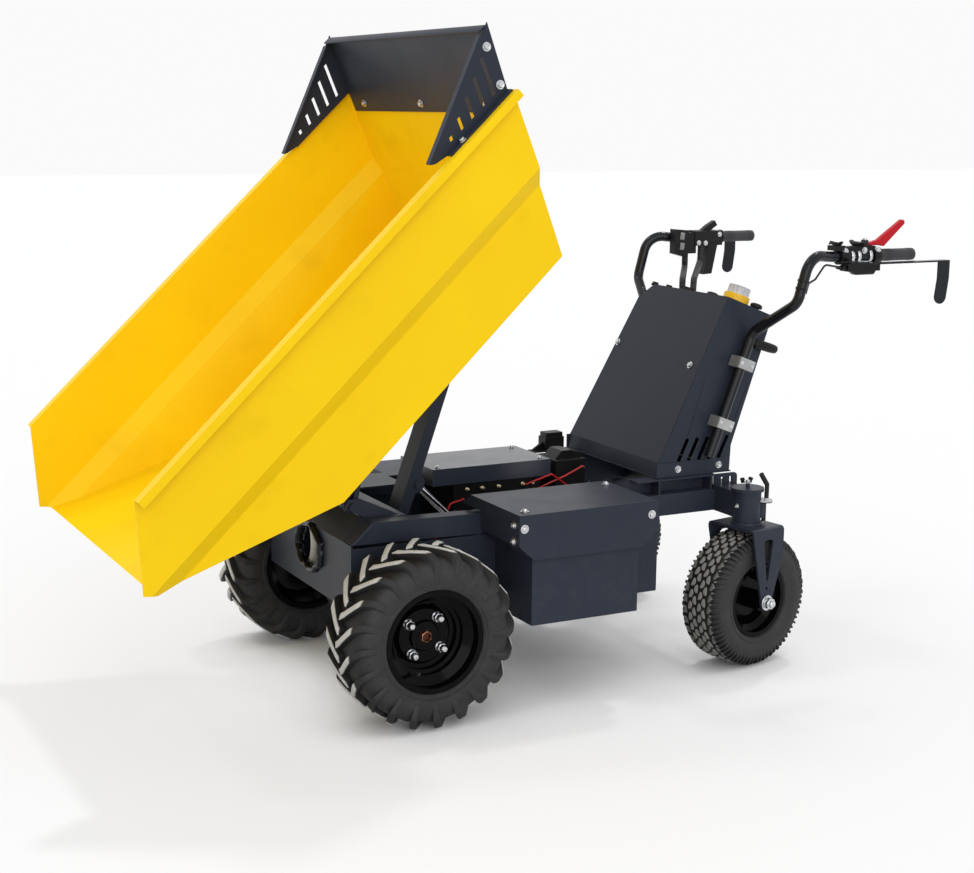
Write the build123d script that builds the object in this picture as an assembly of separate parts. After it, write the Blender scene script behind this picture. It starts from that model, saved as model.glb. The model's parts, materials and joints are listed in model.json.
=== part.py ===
from build123d import *
import math
import os

# Walk-behind electric site dumper, standing as parked with its bed tipped.
# Millimetres. +X points to the dump end, +Y to the vehicle's left, +Z up.
# Sizes along X are measured from the drive axle. The finished part's origin is on the
# ground at the middle of its length, and the axle stands at X = axle_x in that frame.

# ---- running clearances -------------------------------------------------------------
shaft_gap = 0.05
seat_gap = 0.3
roller_gap = 0.7
washer_gap = 5.0

# ---- sheet and plate thicknesses ----------------------------------------------------
bed_sheet = 3.0
frame_sheet = 4.0
cover_sheet = 2.5
guard_sheet = 4.0
ear_plate = 6.0

# ---- chassis tub --------------------------------------------------------------------
tub_half = 250.0
tub_front_x = 119.0
tub_rear_x = -690.0
front_plate_bottom = 235.0
tub_bottom = 200.0
axle_foot_reach = 62.0
pan_front_x = -270.0
pan_lip = 40.0
pan_ramp = 60.0
rail_top = 436.0
rail_depth = 48.0
rail_bottom = rail_top - rail_depth
rail_width = 40.0
rail_fall = 6.0
rail_rear_x = -236.0
panel_drop = 8.0
nose_top_x = 68.0
top_plate_rear_x = -34.0
tongue_rear_x = -170.0
tongue_inner_y = -92.0
grommet_y = 10.0
grommet_z = 333.0
grommet_half_width = 75.0
grommet_half_height = 56.0

# ---- drive wheels -------------------------------------------------------------------
drive_radius = 203.0
drive_width = 164.0
drive_gap = 29.3
drive_y = tub_half + drive_gap + drive_width / 2
drive_rim_radius = 115.5
drive_rim_half = 74.0
drive_wall = 9.0
drive_shoulder = 22.0
lug_height = 17.0
lug_thickness = 15.0
lugs_per_side = 20
lug_angle = 38.0
lug_bevel = 18.0
drive_disc_inset = 66.0
stub_radius = 15.0
hub_radius = 36.0
wheel_bolt_circle = 50.0
wheel_bolts = 4
wheel_bolt_start = 38.0
wheel_stud_radius = 6.0
wheel_stud_length = 20.0
rim_well = 20.0
rim_wall = 4.0
bead_depth = 6.0

# ---- caster wheels ------------------------------------------------------------------
caster_radius = 166.0
caster_width = 124.0
caster_rim_radius = 90.0
caster_rim_half = 50.0
caster_wall = 8.0
caster_shoulder = 20.0
caster_tyre_sides = 36
caster_well = 14.0
caster_x = -902.0
caster_y = 320.5
caster_yaw = 10.9
caster_axle_radius = 8.0
fork_inside = 70.0
fork_plate = 6.0
fork_fold = 9.0
fork_crown_gap = 13.5
fork_top_z = 2 * caster_radius + fork_crown_gap + fork_plate
fork_length = 107.0
fork_end_radius = 19.0
swivel_radius = 34.0
swivel_cap_radius = 40.0
swivel_cap = 8.0
swivel_shaft_radius = 12.5
swivel_gap = 6.5
swivel_height = 83.0
swivel_bottom_z = fork_top_z + swivel_gap
swivel_top_z = swivel_bottom_z + swivel_height
lock_back = 36.5
lock_out = 20.0
lock_ring_radius = 20.0
lock_pin_radius = 5.5
lock_guide_radius = 11.0
lock_ring_z = swivel_top_z - 36.0

# ---- rear frame and console shelf ---------------------------------------------------
rear_rail_y = 210.0
rear_rail_width = 40.0
rear_rail_low = 368.0
rear_rail_high = 421.0
rear_rail_front_x = -640.0
channel_sheet = 4.0
channel_slope = 16.0
post_front_x = -708.0
post_rear_x = -861.0
post_width = 5.0
beam_front_x = -870.0
beam_depth = 60.0
beam_low = 367.0
beam_high = 431.0
shelf_z = 458.5
shelf_sheet = 3.0
shelf_front_x = -703.0
shelf_rear_x = -925.0
shelf_upstand = 37.0
upstand_rear_x = -911.0
slot_plate_rear_x = -936.0
slot_width = 7.0
slot_places = (-890.5, -916.0)

# ---- drive motor --------------------------------------------------------------------
motor_front_x = -66.0
motor_rear_x = -236.0
motor_radius = 50.0

# ---- battery boxes ------------------------------------------------------------------
box_front_x = -243.0
box_rear_x = -523.0
box_width = 175.0
box_outer_y = tub_half + box_width
box_bottom = 204.5
box_tail_x = -645.0
box_tail_width = 68.0
box_tail_step = 109.0
cover_front_x = -203.6
cover_rear_x = -566.9
cover_proud = 11.0
cover_outer_y = box_outer_y + cover_proud
cover_lap = 50.0
cover_inner_y = tub_half - cover_lap
cover_top = 464.0
right_cover_top = 420.0
cover_skirt = 71.0
cover_taper = 38.0
cover_taper_height = 34.0
cover_wing = 44.0

# ---- controller and charger ---------------------------------------------------------
lid_front_x = -211.0
lid_rear_x = -541.0
lid_near_y = -16.0
lid_far_y = -(tub_half - 45.0)
lid_top = 480.0
lid_height = 42.0
lid_lap = 12.0
charger_front_x = -566.0
charger_rear_x = -652.0
charger_near_y = -34.0
charger_far_y = -138.0
charger_top = 469.0
charger_cap = 22.0
rest_front_x = -621.0
rest_rear_x = -678.0
rest_y = -205.0
rest_half = 20.0
rest_top = 509.0
rest_pad = 12.0
rest_foot = 33.0

# ---- bed ----------------------------------------------------------------------------
bed_tilt = 43.95
bed_rim_x = -172.0
bed_rim_z = 1381.8
bed_rim_length = 1150.8
bed_depth = 360.0
bed_half = 437.0
bed_floor_taper = 41.0
step_top = 165.0
step_bottom = 202.0
step_top_taper = 3.0
step_bottom_taper = 30.0
rim_lip = 24.8
rim_half = bed_half + rim_lip
rim_drop = 18.0
rear_panel_run = 138.0
spout_tip_s = 1277.7
spout_tip_n = 152.0
spout_heel_s = 1257.0
spout_heel_n = 178.0
floor_end_s = 860.0

# ---- bed subframe, hinge, lift arm and cylinder -------------------------------------
hinge_x = 90.0
hinge_z = 462.0
hinge_inset = 70.0
hinge_y = tub_half - hinge_inset
hinge_pin_radius = 10.0
hinge_bush_radius = 18.0
hinge_plate = 8.0
subrail_width = 40.0
subrail_depth = 30.0
subrail_rear_s = 160.0
crosspiece_places = (420.0, 700.0)
crosspiece_width = 40.0
track_depth = 36.0
track_rear_s = 88.0
track_front_s = 520.0
track_half = 26.0
arm_y = 30.0
arm_x = -87.0
arm_z = 372.0
arm_angle = 70.8
arm_width = 60.0
arm_depth = 28.0
arm_plate = 5.0
arm_shaft_radius = 14.0
arm_shaft_end_radius = 9.0
arm_hub_radius = 24.0
roller_radius = 18.0
cylinder_x = -375.0
cylinder_z = 238.0
cylinder_angle = 43.77
cylinder_radius = 20.0
cylinder_barrel_length = 190.0
rod_radius = 9.0
rod_length = 192.0
rod_pin_distance = 329.8
eye_radius = 15.0
eye_width = 22.0
eye_neck = 32.0
pin_radius = 8.0

# ---- head guard ---------------------------------------------------------------------
guard_side_gap = 18.3
guard_half = bed_half - guard_side_gap
guard_rise = 134.0
guard_overlap = 45.0
guard_flange = 20.0
wing_tip_s = 240.0
wing_foot_width = 24.0
wing_slots = 5

# ---- console ------------------------------------------------------------------------
console_half = 214.5
console_base_z = shelf_z + seat_gap + shelf_sheet + seat_gap
console_foot = (-706.0, console_base_z)
console_knee = (-712.0, 497.0)
console_brow = (-902.0, 896.0)
console_tail = (-1037.5, 843.0)
console_hip = (-1024.0, 808.0)
console_heel = (-924.6, 525.0)
console_back_foot = (-922.0, console_base_z)
far_side_lean = 48.5
far_corner_low_z = 859.0
far_corner_high_z = 930.0
far_corner_run = 90.0
louvre_count = 5
louvre_pitch = 29.5
louvre_width = 11.0
louvre_length = 57.0
louvre_lean = 0.385
louvre_first_x = -770.5
louvre_low_z = 500.0

# ---- handlebars ---------------------------------------------------------------------
bar_radius = 13.0
bar_clamp_y = 235.0
bar_foot = (-844.0, 505.0)
bar_knee = (-962.0, 808.0)
bar_elbow = (-1002.2, 354.3, 889.7)
bar_crown = (-1033.8, 356.3, 1004.9)
bar_wrist_x = -1108.0
bar_bends = (38.0, 36.0, 52.0, 30.0)
bar_strap_heights = (587.0, 732.0)
grip_y = 334.0
grip_z = 997.0
grip_rear_x = -1370.0
grip_length = 108.0
grip_radius = 15.0
grip_cap = 4.0
guard_bar_y = 445.5
guard_bar_front_x = -1137.0
guard_bar_rear_x = -1392.0
guard_bar_width = 20.0
guard_bar_sheet = 4.0
guard_bar_sink = 7.0
guard_drop = 103.0
guard_drop_width = 37.0

# ---- hand controls ------------------------------------------------------------------
ring_radius = 20.0
ring_rear_x = -1160.0
ring_front_x = -1134.0

# ---- small fittings -----------------------------------------------------------------
beacon_x = -966.0
beacon_y = 150.0
beacon_radius = 33.0
beacon_height = 21.0
beacon_lens_radius = 28.0
beacon_lens_height = 22.0
conduit_radius = 8.5
conduit_bends = (26.0, 16.0)
cable_radius = 2.5
cable_bends = (16.0, 12.0, 8.0)
wire_radius = 2.2
lead_bend = 5.0
side_lever_radius = 12.0
side_lever_front = (-980.0, 778.0)
side_lever_rear = (-1032.0, 762.0)

# ---- runs of hoses, leads and the cable, as (x, y, z) points -------------------------
conduit_runs = (
    ((-1132.0, -318.0, 954.7), (-1132.0, -318.0, 918.0), (-1005.0, -140.0, 903.0), (-1000.0, -132.0)),
    ((-1174.0, -304.0, 975.7), (-1174.0, -304.0, 935.0), (-1022.0, -112.0, 905.0), (-1008.0, -96.0)),
)
lead_runs = (
    (
        (-297.0, -27.7, 400.0),
        (-297.0, -15.0, 400.0),
        (-257.0, -12.0, 393.0),
        (-200.0, -12.0, 270.0),
        (-200.0, -12.0, 252.8),
    ),
    (
        (-470.0, -27.7, 420.0),
        (-470.0, -18.0, 420.0),
        (-540.0, -10.0, 442.0),
        (-588.0, -10.0, 407.0),
        (-606.0, -22.0, 330.0),
        (-606.0, -33.7, 330.0),
    ),
    (
        (-500.0, -27.7, 405.0),
        (-500.0, -18.0, 405.0),
        (-580.0, -10.0, 434.0),
        (-630.0, -10.0, 455.0),
        (-640.0, -20.0, 450.0),
        (-640.0, -33.7, 450.0),
    ),
)
cable_run = (
    (-1157.2, 338.0, 968.0),
    (-1084.0, 350.0, 980.0),
    (-1052.0, 355.0, 946.0),
    (-1032.4, 355.1, 937.0),
    (-1025.6, 354.7, 912.0),
)

# ---- knobs on the console's top, as (x, y, radius, height) ---------------------------
knob_places = ((-955.0, 66.0, 11.0, 26.0), (-1000.0, 190.0, 9.0, 15.0))

# ---- where the part stands in its own frame -----------------------------------------
front_reach = bed_rim_x + bed_rim_length * math.cos(math.radians(bed_tilt))
axle_x = -(front_reach + guard_bar_rear_x) / 2

# ---- linkage worked out from the sizes above ----------------------------------------
arm_lean = math.radians(180.0 - arm_angle)
rod_pin_x = cylinder_x + rod_pin_distance * math.cos(math.radians(cylinder_angle))
rod_pin_z = cylinder_z + rod_pin_distance * math.sin(math.radians(cylinder_angle))
arm_eye_along = (rod_pin_x - arm_x) * math.cos(arm_lean) + (rod_pin_z - arm_z) * math.sin(arm_lean)
arm_eye_off = (rod_pin_z - arm_z) * math.cos(arm_lean) - (rod_pin_x - arm_x) * math.sin(arm_lean)
track_normal = (math.sin(math.radians(bed_tilt)), math.cos(math.radians(bed_tilt)))
track_level = -bed_depth - seat_gap - track_depth - roller_gap - roller_radius
arm_rise = track_level + track_normal[0] * (bed_rim_x - arm_x) + track_normal[1] * (bed_rim_z - arm_z)
arm_length = arm_rise / (track_normal[0] * math.cos(arm_lean) + track_normal[1] * math.sin(arm_lean))


# =====================================================================================
# small makers
# =====================================================================================
def block(x0, x1, y0, y1, z0, z1):
    centre = ((x0 + x1) / 2, (y0 + y1) / 2, (z0 + z1) / 2)
    return Pos(*centre) * Box(abs(x1 - x0), abs(y1 - y0), abs(z1 - z0))


def side_prism(outline, y0, y1):
    """A flat outline of (x, z) points, thick from y0 to y1."""
    corners = [Vector(x, y0, z) for x, z in outline]
    face = Face(Wire.make_polygon(corners, close=True))
    return extrude(face, amount=y1 - y0, dir=(0, 1, 0))


def cross_prism(outline, x0, x1):
    """A flat outline of (y, z) points, thick from x0 to x1."""
    corners = [Vector(x0, y, z) for y, z in outline]
    face = Face(Wire.make_polygon(corners, close=True))
    return extrude(face, amount=x1 - x0, dir=(1, 0, 0))


def plan_prism(outline, z0, z1):
    """A flat outline of (x, y) points, thick from z0 to z1."""
    corners = [Vector(x, y, z0) for x, y in outline]
    face = Face(Wire.make_polygon(corners, close=True))
    return extrude(face, amount=z1 - z0, dir=(0, 0, 1))


def rod_between(start, end, radius):
    start = Vector(*start)
    direction = Vector(*end) - start
    plane = Plane(origin=start, z_dir=direction)
    return plane * Cylinder(radius, direction.length, align=(Align.CENTER, Align.CENTER, Align.MIN))


def cross_rod(x, z, y0, y1, radius):
    return rod_between((x, min(y0, y1), z), (x, max(y0, y1), z), radius)


def turned(outline):
    """Revolve an outline of (radius, y) points about the Y axis."""
    corners = [Vector(radius, along, 0) for radius, along in outline]
    face = Face(Wire.make_polygon(corners, close=True))
    return revolve(face, axis=Axis.Y, revolution_arc=360)


def mirrored(shape):
    return mirror(shape, about=Plane.XZ)


def both_sides(shape):
    return [shape, mirrored(shape)]


def save(node, shape):
    if isinstance(shape, (list, tuple)):
        shape = Compound(children=list(shape))
    export_step(Pos(axle_x, 0, 0) * shape, os.path.join("parts", node + ".step"))


def faceted_drum(sections, sides):
    """Ruled solid through regular polygons, each given as (radius, y) about the Y axis."""
    wires = []
    for radius, along in sections:
        corners = []
        for index in range(sides):
            angle = 2 * math.pi * index / sides
            corners.append(Vector(radius * math.cos(angle), along, radius * math.sin(angle)))
        wires.append(Wire.make_polygon(corners, close=True))
    return Solid.make_loft(wires, ruled=True)


def hex_bar(x, z, y0, y1, radius):
    """Hexagonal prism along Y."""
    plane = Plane(origin=(x, min(y0, y1), z), z_dir=(0, 1, 0), x_dir=(1, 0, 0))
    return plane * extrude(RegularPolygon(radius, 6), amount=abs(y1 - y0))


# =====================================================================================
# wheels and casters
# =====================================================================================
def tyre_body(crown, half, rim_radius, rim_half, shoulder, sides):
    """Outside of a tyre from bead to bead, bulged at the sidewalls, with the bore filled."""
    bead = rim_radius - bead_depth
    side = [
        (bead, rim_half - bead_depth),
        ((bead + crown) / 2, half),
        (crown - shoulder, half - 4.0),
        (crown - 4.0, half - shoulder),
        (crown, (half - shoulder) / 2),
    ]
    sections = [(radius, -along) for radius, along in side] + list(reversed(side))
    return faceted_drum(sections, sides)


def tyre_room(crown, half, rim_radius, rim_half, wall, sides):
    """Air space and bore of a tyre, drawn in from its outside by the wall."""
    bead = (rim_radius - bead_depth) / math.cos(math.pi / sides)
    reach = half - wall
    air = faceted_drum([
        (bead, bead_depth + wall - rim_half),
        ((bead + crown) / 2, -reach),
        (crown - wall, wall + bead_depth - reach),
        (crown - wall, reach - wall - bead_depth),
        ((bead + crown) / 2, reach),
        (bead, rim_half - bead_depth - wall),
    ], sides)
    bore = faceted_drum([(bead, -half - 10.0), (bead, half + 10.0)], sides)
    return air, bore


def drive_tyre():
    """Field tyre: two rows of slanting lugs, offset by half a pitch, on a plain carcass."""
    crown = drive_radius - lug_height
    half = drive_width / 2
    carcass_half = half - 3.0
    sides = 2 * lugs_per_side
    envelope = faceted_drum([
        (crown - 4.0, -half),
        (drive_radius, lug_bevel - half),
        (drive_radius, half - lug_bevel),
        (crown - 4.0, half),
    ], sides)
    reach = half + 6.0
    drift = reach * math.tan(math.radians(lug_angle))
    bars = []
    for side in (1, -1):
        bar = plan_prism(
            [
                (-lug_thickness / 2, -4.0 * side),
                (lug_thickness / 2, -4.0 * side),
                (lug_thickness / 2 - drift, reach * side),
                (-lug_thickness / 2 - drift, reach * side),
            ],
            crown - drive_shoulder,
            drive_radius + lug_height,
        )
        offset = 0.0 if side > 0 else 180.0 / lugs_per_side
        for index in range(lugs_per_side):
            bars.append(Rot(0, 360.0 * index / lugs_per_side + offset, 0) * bar)
    lugs = [envelope & bar for bar in bars]
    tyre = tyre_body(crown, carcass_half, drive_rim_radius, drive_rim_half, drive_shoulder, sides)
    for lug in lugs:
        tyre = tyre + lug
    air, bore = tyre_room(crown, carcass_half, drive_rim_radius, drive_rim_half, drive_wall, sides)
    return tyre - air - bore


def drive_rim():
    """Steel disc wheel: stepped barrel, dished disc, hub boss and studs, outer side towards +Y."""
    half = drive_rim_half
    lip = drive_rim_radius
    seat = lip - bead_depth - 1.0
    well = seat - rim_well
    wall = rim_wall
    disc_y = half - drive_disc_inset
    bore = stub_radius + shaft_gap
    barrel = turned([
        (seat - wall, -half),
        (lip, -half),
        (lip, -half + wall),
        (seat, -half + wall),
        (seat, -half + 26.0),
        (well, -half + 38.0),
        (well, half - 38.0),
        (seat, half - 26.0),
        (seat, half - wall),
        (lip, half - wall),
        (lip, half),
        (seat - wall, half),
        (seat - wall, half - 24.0),
        (well - wall, half - 36.0),
        (well - wall, disc_y + 16.0),
        (well - wall - 8.0, disc_y + 14.0),
        (well - wall - 8.0, disc_y - 2.0),
        (hub_radius + 32.0, disc_y - 4.0),
        (hub_radius + 24.0, disc_y + 6.0),
        (hub_radius, disc_y + 6.0),
        (hub_radius - 4.0, disc_y + 12.0),
        (bore, disc_y + 12.0),
        (bore, disc_y - 22.0),
        (hub_radius - 4.0, disc_y - 22.0),
        (hub_radius - 4.0, disc_y - 2.0),
        (well - wall, disc_y - 12.0),
        (well - wall, -half + 36.0),
        (seat - wall, -half + 24.0),
    ])
    rim = barrel
    for index in range(wheel_bolts):
        angle = math.radians(wheel_bolt_start + 360.0 * index / wheel_bolts)
        x = wheel_bolt_circle * math.cos(angle)
        z = wheel_bolt_circle * math.sin(angle)
        rim = rim + cross_rod(x, z, disc_y + 4.0, disc_y + 6.0 + wheel_stud_length, wheel_stud_radius)
    return rim


def caster_tyre():
    half = caster_width / 2
    sides = caster_tyre_sides
    body = tyre_body(caster_radius, half, caster_rim_radius, caster_rim_half, caster_shoulder, sides)
    air, bore = tyre_room(caster_radius, half, caster_rim_radius, caster_rim_half, caster_wall, sides)
    return body - air - bore


def caster_rim():
    """Pressed wheel on a long hub that runs between the fork's legs."""
    half = caster_rim_half
    lip = caster_rim_radius
    seat = lip - bead_depth
    well = seat - caster_well
    wall = rim_wall - 1.0
    hub_end = fork_inside - washer_gap
    hub = caster_axle_radius + 16.0
    return turned([
        (seat - wall, -half),
        (lip, -half),
        (lip, -half + wall),
        (seat - 1.0, -half + wall),
        (seat - 1.0, -half + 22.0),
        (well, -half + 32.0),
        (well, half - 32.0),
        (seat - 1.0, half - 22.0),
        (seat - 1.0, half - wall),
        (lip, half - wall),
        (lip, half),
        (seat - wall, half),
        (seat - wall, half - 20.0),
        (well - wall, half - 30.0),
        (well - wall, 6.0),
        (hub + 22.0, 14.0),
        (hub, 14.0),
        (hub, hub_end),
        (caster_axle_radius + shaft_gap, hub_end),
        (caster_axle_radius + shaft_gap, -hub_end),
        (hub, -hub_end),
        (hub, 8.0),
        (hub + 20.0, 8.0),
        (well - wall, 0.0),
        (well - wall, -half + 30.0),
        (seat - wall, -half + 20.0),
    ])


def place_drive(shape, side):
    turned_out = shape if side > 0 else Rot(0, 0, 180) * shape
    return Pos(0, side * drive_y, drive_radius) * turned_out


def place_caster(shape, side):
    return Pos(caster_x, side * caster_y, 0) * Rot(0, 0, caster_yaw) * shape


def caster_fork():
    """Fork folded from one plate: tapered legs with round ends and arch-topped windows."""
    outer = fork_inside + fork_plate
    half_length = fork_length / 2
    top = fork_top_z
    axle = caster_radius
    low = axle - fork_end_radius - 5.0
    bend = 0.3 * fork_fold
    under = top - fork_plate
    channel = cross_prism(
        [
            (-outer, low),
            (-outer, top - fork_fold),
            (-outer + bend, top - bend),
            (-outer + fork_fold, top),
            (outer - fork_fold, top),
            (outer - bend, top - bend),
            (outer, top - fork_fold),
            (outer, low),
            (fork_inside, low),
            (fork_inside, under),
            (-fork_inside, under),
            (-fork_inside, low),
        ],
        -half_length,
        half_length,
    )
    leg = side_prism(
        [
            (-half_length, top),
            (half_length, top),
            (half_length, top - 14.0),
            (fork_end_radius - 0.5, axle + 4.0),
            (0.5 - fork_end_radius, axle + 4.0),
            (-half_length, top - 72.0),
        ],
        -outer,
        outer,
    )
    legs = leg + cross_rod(0, axle, -outer, outer, fork_end_radius)
    window = side_prism(
        [
            (16.5, top - 34.0),
            (10.0, top - 28.0),
            (-10.0, top - 28.0),
            (-16.5, top - 34.0),
            (-2.5, axle + 55.0),
            (2.5, axle + 55.0),
        ],
        -outer - 1,
        outer + 1,
    )
    small_hole = cross_rod(1.0, axle + 36.0, -outer - 1, outer + 1, 4.0)
    fork = (channel & legs) - window - small_hole
    axle_rod = cross_rod(0, axle, -outer - 22.0, outer + 22.0, caster_axle_radius)
    ring = rod_between((0, 0, top), (0, 0, swivel_bottom_z - seat_gap), swivel_radius + 4.0)
    shaft = rod_between((0, 0, top), (0, 0, swivel_top_z - swivel_cap - 1.0), swivel_shaft_radius)
    fork = fork + axle_rod + ring + shaft
    for side in (1, -1):
        fork = fork + cross_rod(0, axle, side * outer, side * (outer + 3.0), 16.0)
        fork = fork + hex_bar(0, axle, side * (outer + 3.0), side * (outer + 14.0), 13.0)
    return fork


def caster_housing():
    """Swivel tube with its cap on the end of the cross beam, and the lock pin's guide."""
    foot = (caster_x, caster_y, swivel_bottom_z)
    tube = rod_between(foot, (caster_x, caster_y, swivel_top_z), swivel_radius)
    cap = rod_between(
        (caster_x, caster_y, swivel_top_z - swivel_cap), (caster_x, caster_y, swivel_top_z), swivel_cap_radius
    )
    nipple = rod_between(
        (caster_x, caster_y, swivel_top_z - 1.0), (caster_x, caster_y, swivel_top_z + 11.0), 5.0
    )
    arm = block(
        beam_front_x - beam_depth,
        beam_front_x,
        rear_rail_y + rear_rail_width / 2,
        caster_y,
        beam_low,
        beam_high,
    )
    lock_x = caster_x - lock_back
    lock_y = caster_y + lock_out
    guide_place = (lock_x + 8.0, lock_y - 4.0)
    guide = rod_between(
        (*guide_place, swivel_bottom_z + 8.0), (*guide_place, lock_ring_z - seat_gap), lock_guide_radius
    )
    notch = rod_between(
        (lock_x, lock_y, swivel_bottom_z - 1.0), (lock_x, lock_y, lock_ring_z), lock_pin_radius + seat_gap
    )
    bore = rod_between(
        (caster_x, caster_y, swivel_bottom_z - 1.0),
        (caster_x, caster_y, swivel_top_z - swivel_cap),
        swivel_shaft_radius + shaft_gap,
    )
    return (tube + cap + nipple + arm + guide) - notch - bore


def lock_lever():
    """Left swivel lock: sprung pin, finger ring and a handle leaning forward at its top."""
    x = caster_x - lock_back
    y = caster_y + lock_out
    low = lock_ring_z
    pin = rod_between((x, y, swivel_bottom_z), (x, y, low + 4.0), lock_pin_radius)
    ring = rod_between((x, y, low), (x, y, low + 6.0), lock_ring_radius)
    ring = ring - rod_between(
        (caster_x, caster_y, low - 1.0), (caster_x, caster_y, low + 9.0), swivel_radius + seat_gap
    )
    knee = (x - 1.5, y + 7.0, low + 44.0)
    handle = rod_between((x - 2.5, y + 5.0, low + 5.0), knee, lock_pin_radius)
    blade = rod_between(knee, (x + 17.5, y + 7.0, low + 72.0), lock_pin_radius + 0.5)
    return pin + ring + handle + blade


# =====================================================================================
# chassis
# =====================================================================================
def nose_frame():
    """Front plate with its oval grommet hole, sloped nose, top plate and hinge ears."""
    sheet = frame_sheet
    inner_half = tub_half - rail_width - seat_gap
    outline = [
        (tub_front_x - sheet, front_plate_bottom),
        (tub_front_x, front_plate_bottom),
        (tub_front_x, rail_bottom),
        (nose_top_x, rail_top),
        (top_plate_rear_x, rail_top),
        (top_plate_rear_x, rail_top - sheet),
        (nose_top_x - 2.0, rail_top - sheet),
        (tub_front_x - sheet, rail_bottom - 2.0),
    ]
    nose = side_prism(outline, -inner_half, inner_half)
    lower = block(
        tub_front_x - sheet, tub_front_x, -tub_half, tub_half, front_plate_bottom, rail_bottom - seat_gap
    )
    tongue = block(
        tongue_rear_x, top_plate_rear_x + sheet, -inner_half, tongue_inner_y, rail_top - sheet, rail_top
    )
    hole_plane = Plane(
        origin=(tub_front_x - 5 * sheet, grommet_y, grommet_z), z_dir=(1, 0, 0), x_dir=(0, 1, 0)
    )
    hole = hole_plane * extrude(Ellipse(grommet_half_width, grommet_half_height), amount=10 * sheet)
    nose = nose + lower + tongue - hole
    ear_outline = [
        (top_plate_rear_x + 14.0, rail_top),
        (nose_top_x - 6.0, rail_top),
        (hinge_x + hinge_bush_radius, hinge_z - 4.0),
        (hinge_x + 12.0, hinge_z + hinge_bush_radius),
        (hinge_x - 16.0, hinge_z + hinge_bush_radius),
    ]
    gap = hinge_plate / 2 + washer_gap
    pin_half = gap + 2 * ear_plate
    for side in (1, -1):
        for offset in (-gap - ear_plate, gap):
            y0 = side * hinge_y + offset
            nose = nose + side_prism(ear_outline, y0, y0 + ear_plate)
        nose = nose + cross_rod(
            hinge_x, hinge_z, side * hinge_y - pin_half, side * hinge_y + pin_half, hinge_pin_radius
        )
    return nose


def side_rail():
    """Left side rail: square tube with its nose cut to the slope, ending at the box cover."""
    outline = [
        (tub_front_x, rail_bottom),
        (nose_top_x, rail_top),
        (rail_rear_x, rail_top - rail_fall),
        (rail_rear_x, rail_bottom - rail_fall),
    ]
    return side_prism(outline, tub_half - rail_width, tub_half)


def side_panel():
    """Left tub side below the rail, from the front plate to the rear end."""
    front = tub_front_x - frame_sheet - seat_gap
    rear = tub_rear_x + frame_sheet + seat_gap
    top = rail_bottom - panel_drop
    outline = [
        (front, front_plate_bottom),
        (front, top),
        (rear, top),
        (rear, tub_bottom),
        (pan_front_x, tub_bottom),
        (pan_front_x + pan_ramp, front_plate_bottom),
    ]
    panel = side_prism(outline, tub_half - frame_sheet, tub_half)
    flange = block(
        pan_front_x + pan_ramp + 2.0,
        front,
        tub_half - axle_foot_reach,
        tub_half - frame_sheet / 2,
        front_plate_bottom,
        front_plate_bottom + frame_sheet,
    )
    return panel + flange


def floor_pan():
    """Tub floor with its rear wall and the ears that hold the cylinder's base."""
    inner = tub_half - frame_sheet - seat_gap
    pan = block(tub_rear_x, pan_front_x, -inner, inner, tub_bottom, tub_bottom + frame_sheet)
    rear = block(
        tub_rear_x, tub_rear_x + frame_sheet, -tub_half, tub_half, tub_bottom, rear_rail_low - seat_gap
    )
    front_lip = block(
        pan_front_x - frame_sheet, pan_front_x, -inner, inner, tub_bottom, tub_bottom + pan_lip
    )
    pan = pan + rear + front_lip
    gap = eye_width / 2 + 2.0
    ear = [
        (cylinder_x - 26.0, tub_bottom + 2.0),
        (cylinder_x + 26.0, tub_bottom + 2.0),
        (cylinder_x + 14.0, cylinder_z + 14.0),
        (cylinder_x - 14.0, cylinder_z + 14.0),
    ]
    for y0 in (arm_y - gap - ear_plate, arm_y + gap):
        pan = pan + side_prism(ear, y0, y0 + ear_plate)
    pin_half = gap + ear_plate + 2.0
    pin = cross_rod(cylinder_x, cylinder_z, arm_y - pin_half, arm_y + pin_half, pin_radius)
    return pan + pin


def pivot_shaft():
    """Lift arm's shaft, turned down at both ends where it runs under the side rails."""
    end = tub_half - frame_sheet
    shoulder = tub_half - rail_width - washer_gap
    shaft = cross_rod(arm_x, arm_z, -shoulder, shoulder, arm_shaft_radius)
    return shaft + cross_rod(arm_x, arm_z, -end, end, arm_shaft_end_radius)


def axle_unit():
    """Transaxle: gear casing with its cover ring, two axle tubes, feet and stub shafts."""
    inner = drive_y - drive_rim_half - 30.0
    tube_radius = 26.0
    tube = cross_rod(0, drive_radius, -inner, inner, tube_radius)
    casing = cross_rod(0, drive_radius, -48.0, 48.0, 58.0)
    casing = casing & block(-70, 70, -48, 48, 0, front_plate_bottom + 22.0)
    cover_ring = cross_rod(0, drive_radius, -54.0, 54.0, 40.0)
    stub_end = drive_y + drive_rim_half - drive_disc_inset + 12.0
    stub = cross_rod(0, drive_radius, -stub_end, stub_end, stub_radius)
    unit = tube + casing + cover_ring + stub
    for side in (1, -1):
        foot_y = side * (tub_half - axle_foot_reach / 2)
        unit = unit + block(
            -34.0, 34.0, foot_y - 22.0, foot_y + 22.0, drive_radius, front_plate_bottom - seat_gap
        )
    flange = rod_between((-40.0, 0, drive_radius), (motor_front_x, 0, drive_radius), motor_radius - 8.0)
    return unit + flange


def drive_motor():
    """Motor can with a smaller end cap."""
    start = motor_front_x - seat_gap
    can = rod_between((start, 0, drive_radius), (motor_rear_x + 18.0, 0, drive_radius), motor_radius)
    cap = rod_between(
        (motor_rear_x + 20.0, 0, drive_radius), (motor_rear_x, 0, drive_radius), motor_radius - 9.0
    )
    return can + cap


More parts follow.
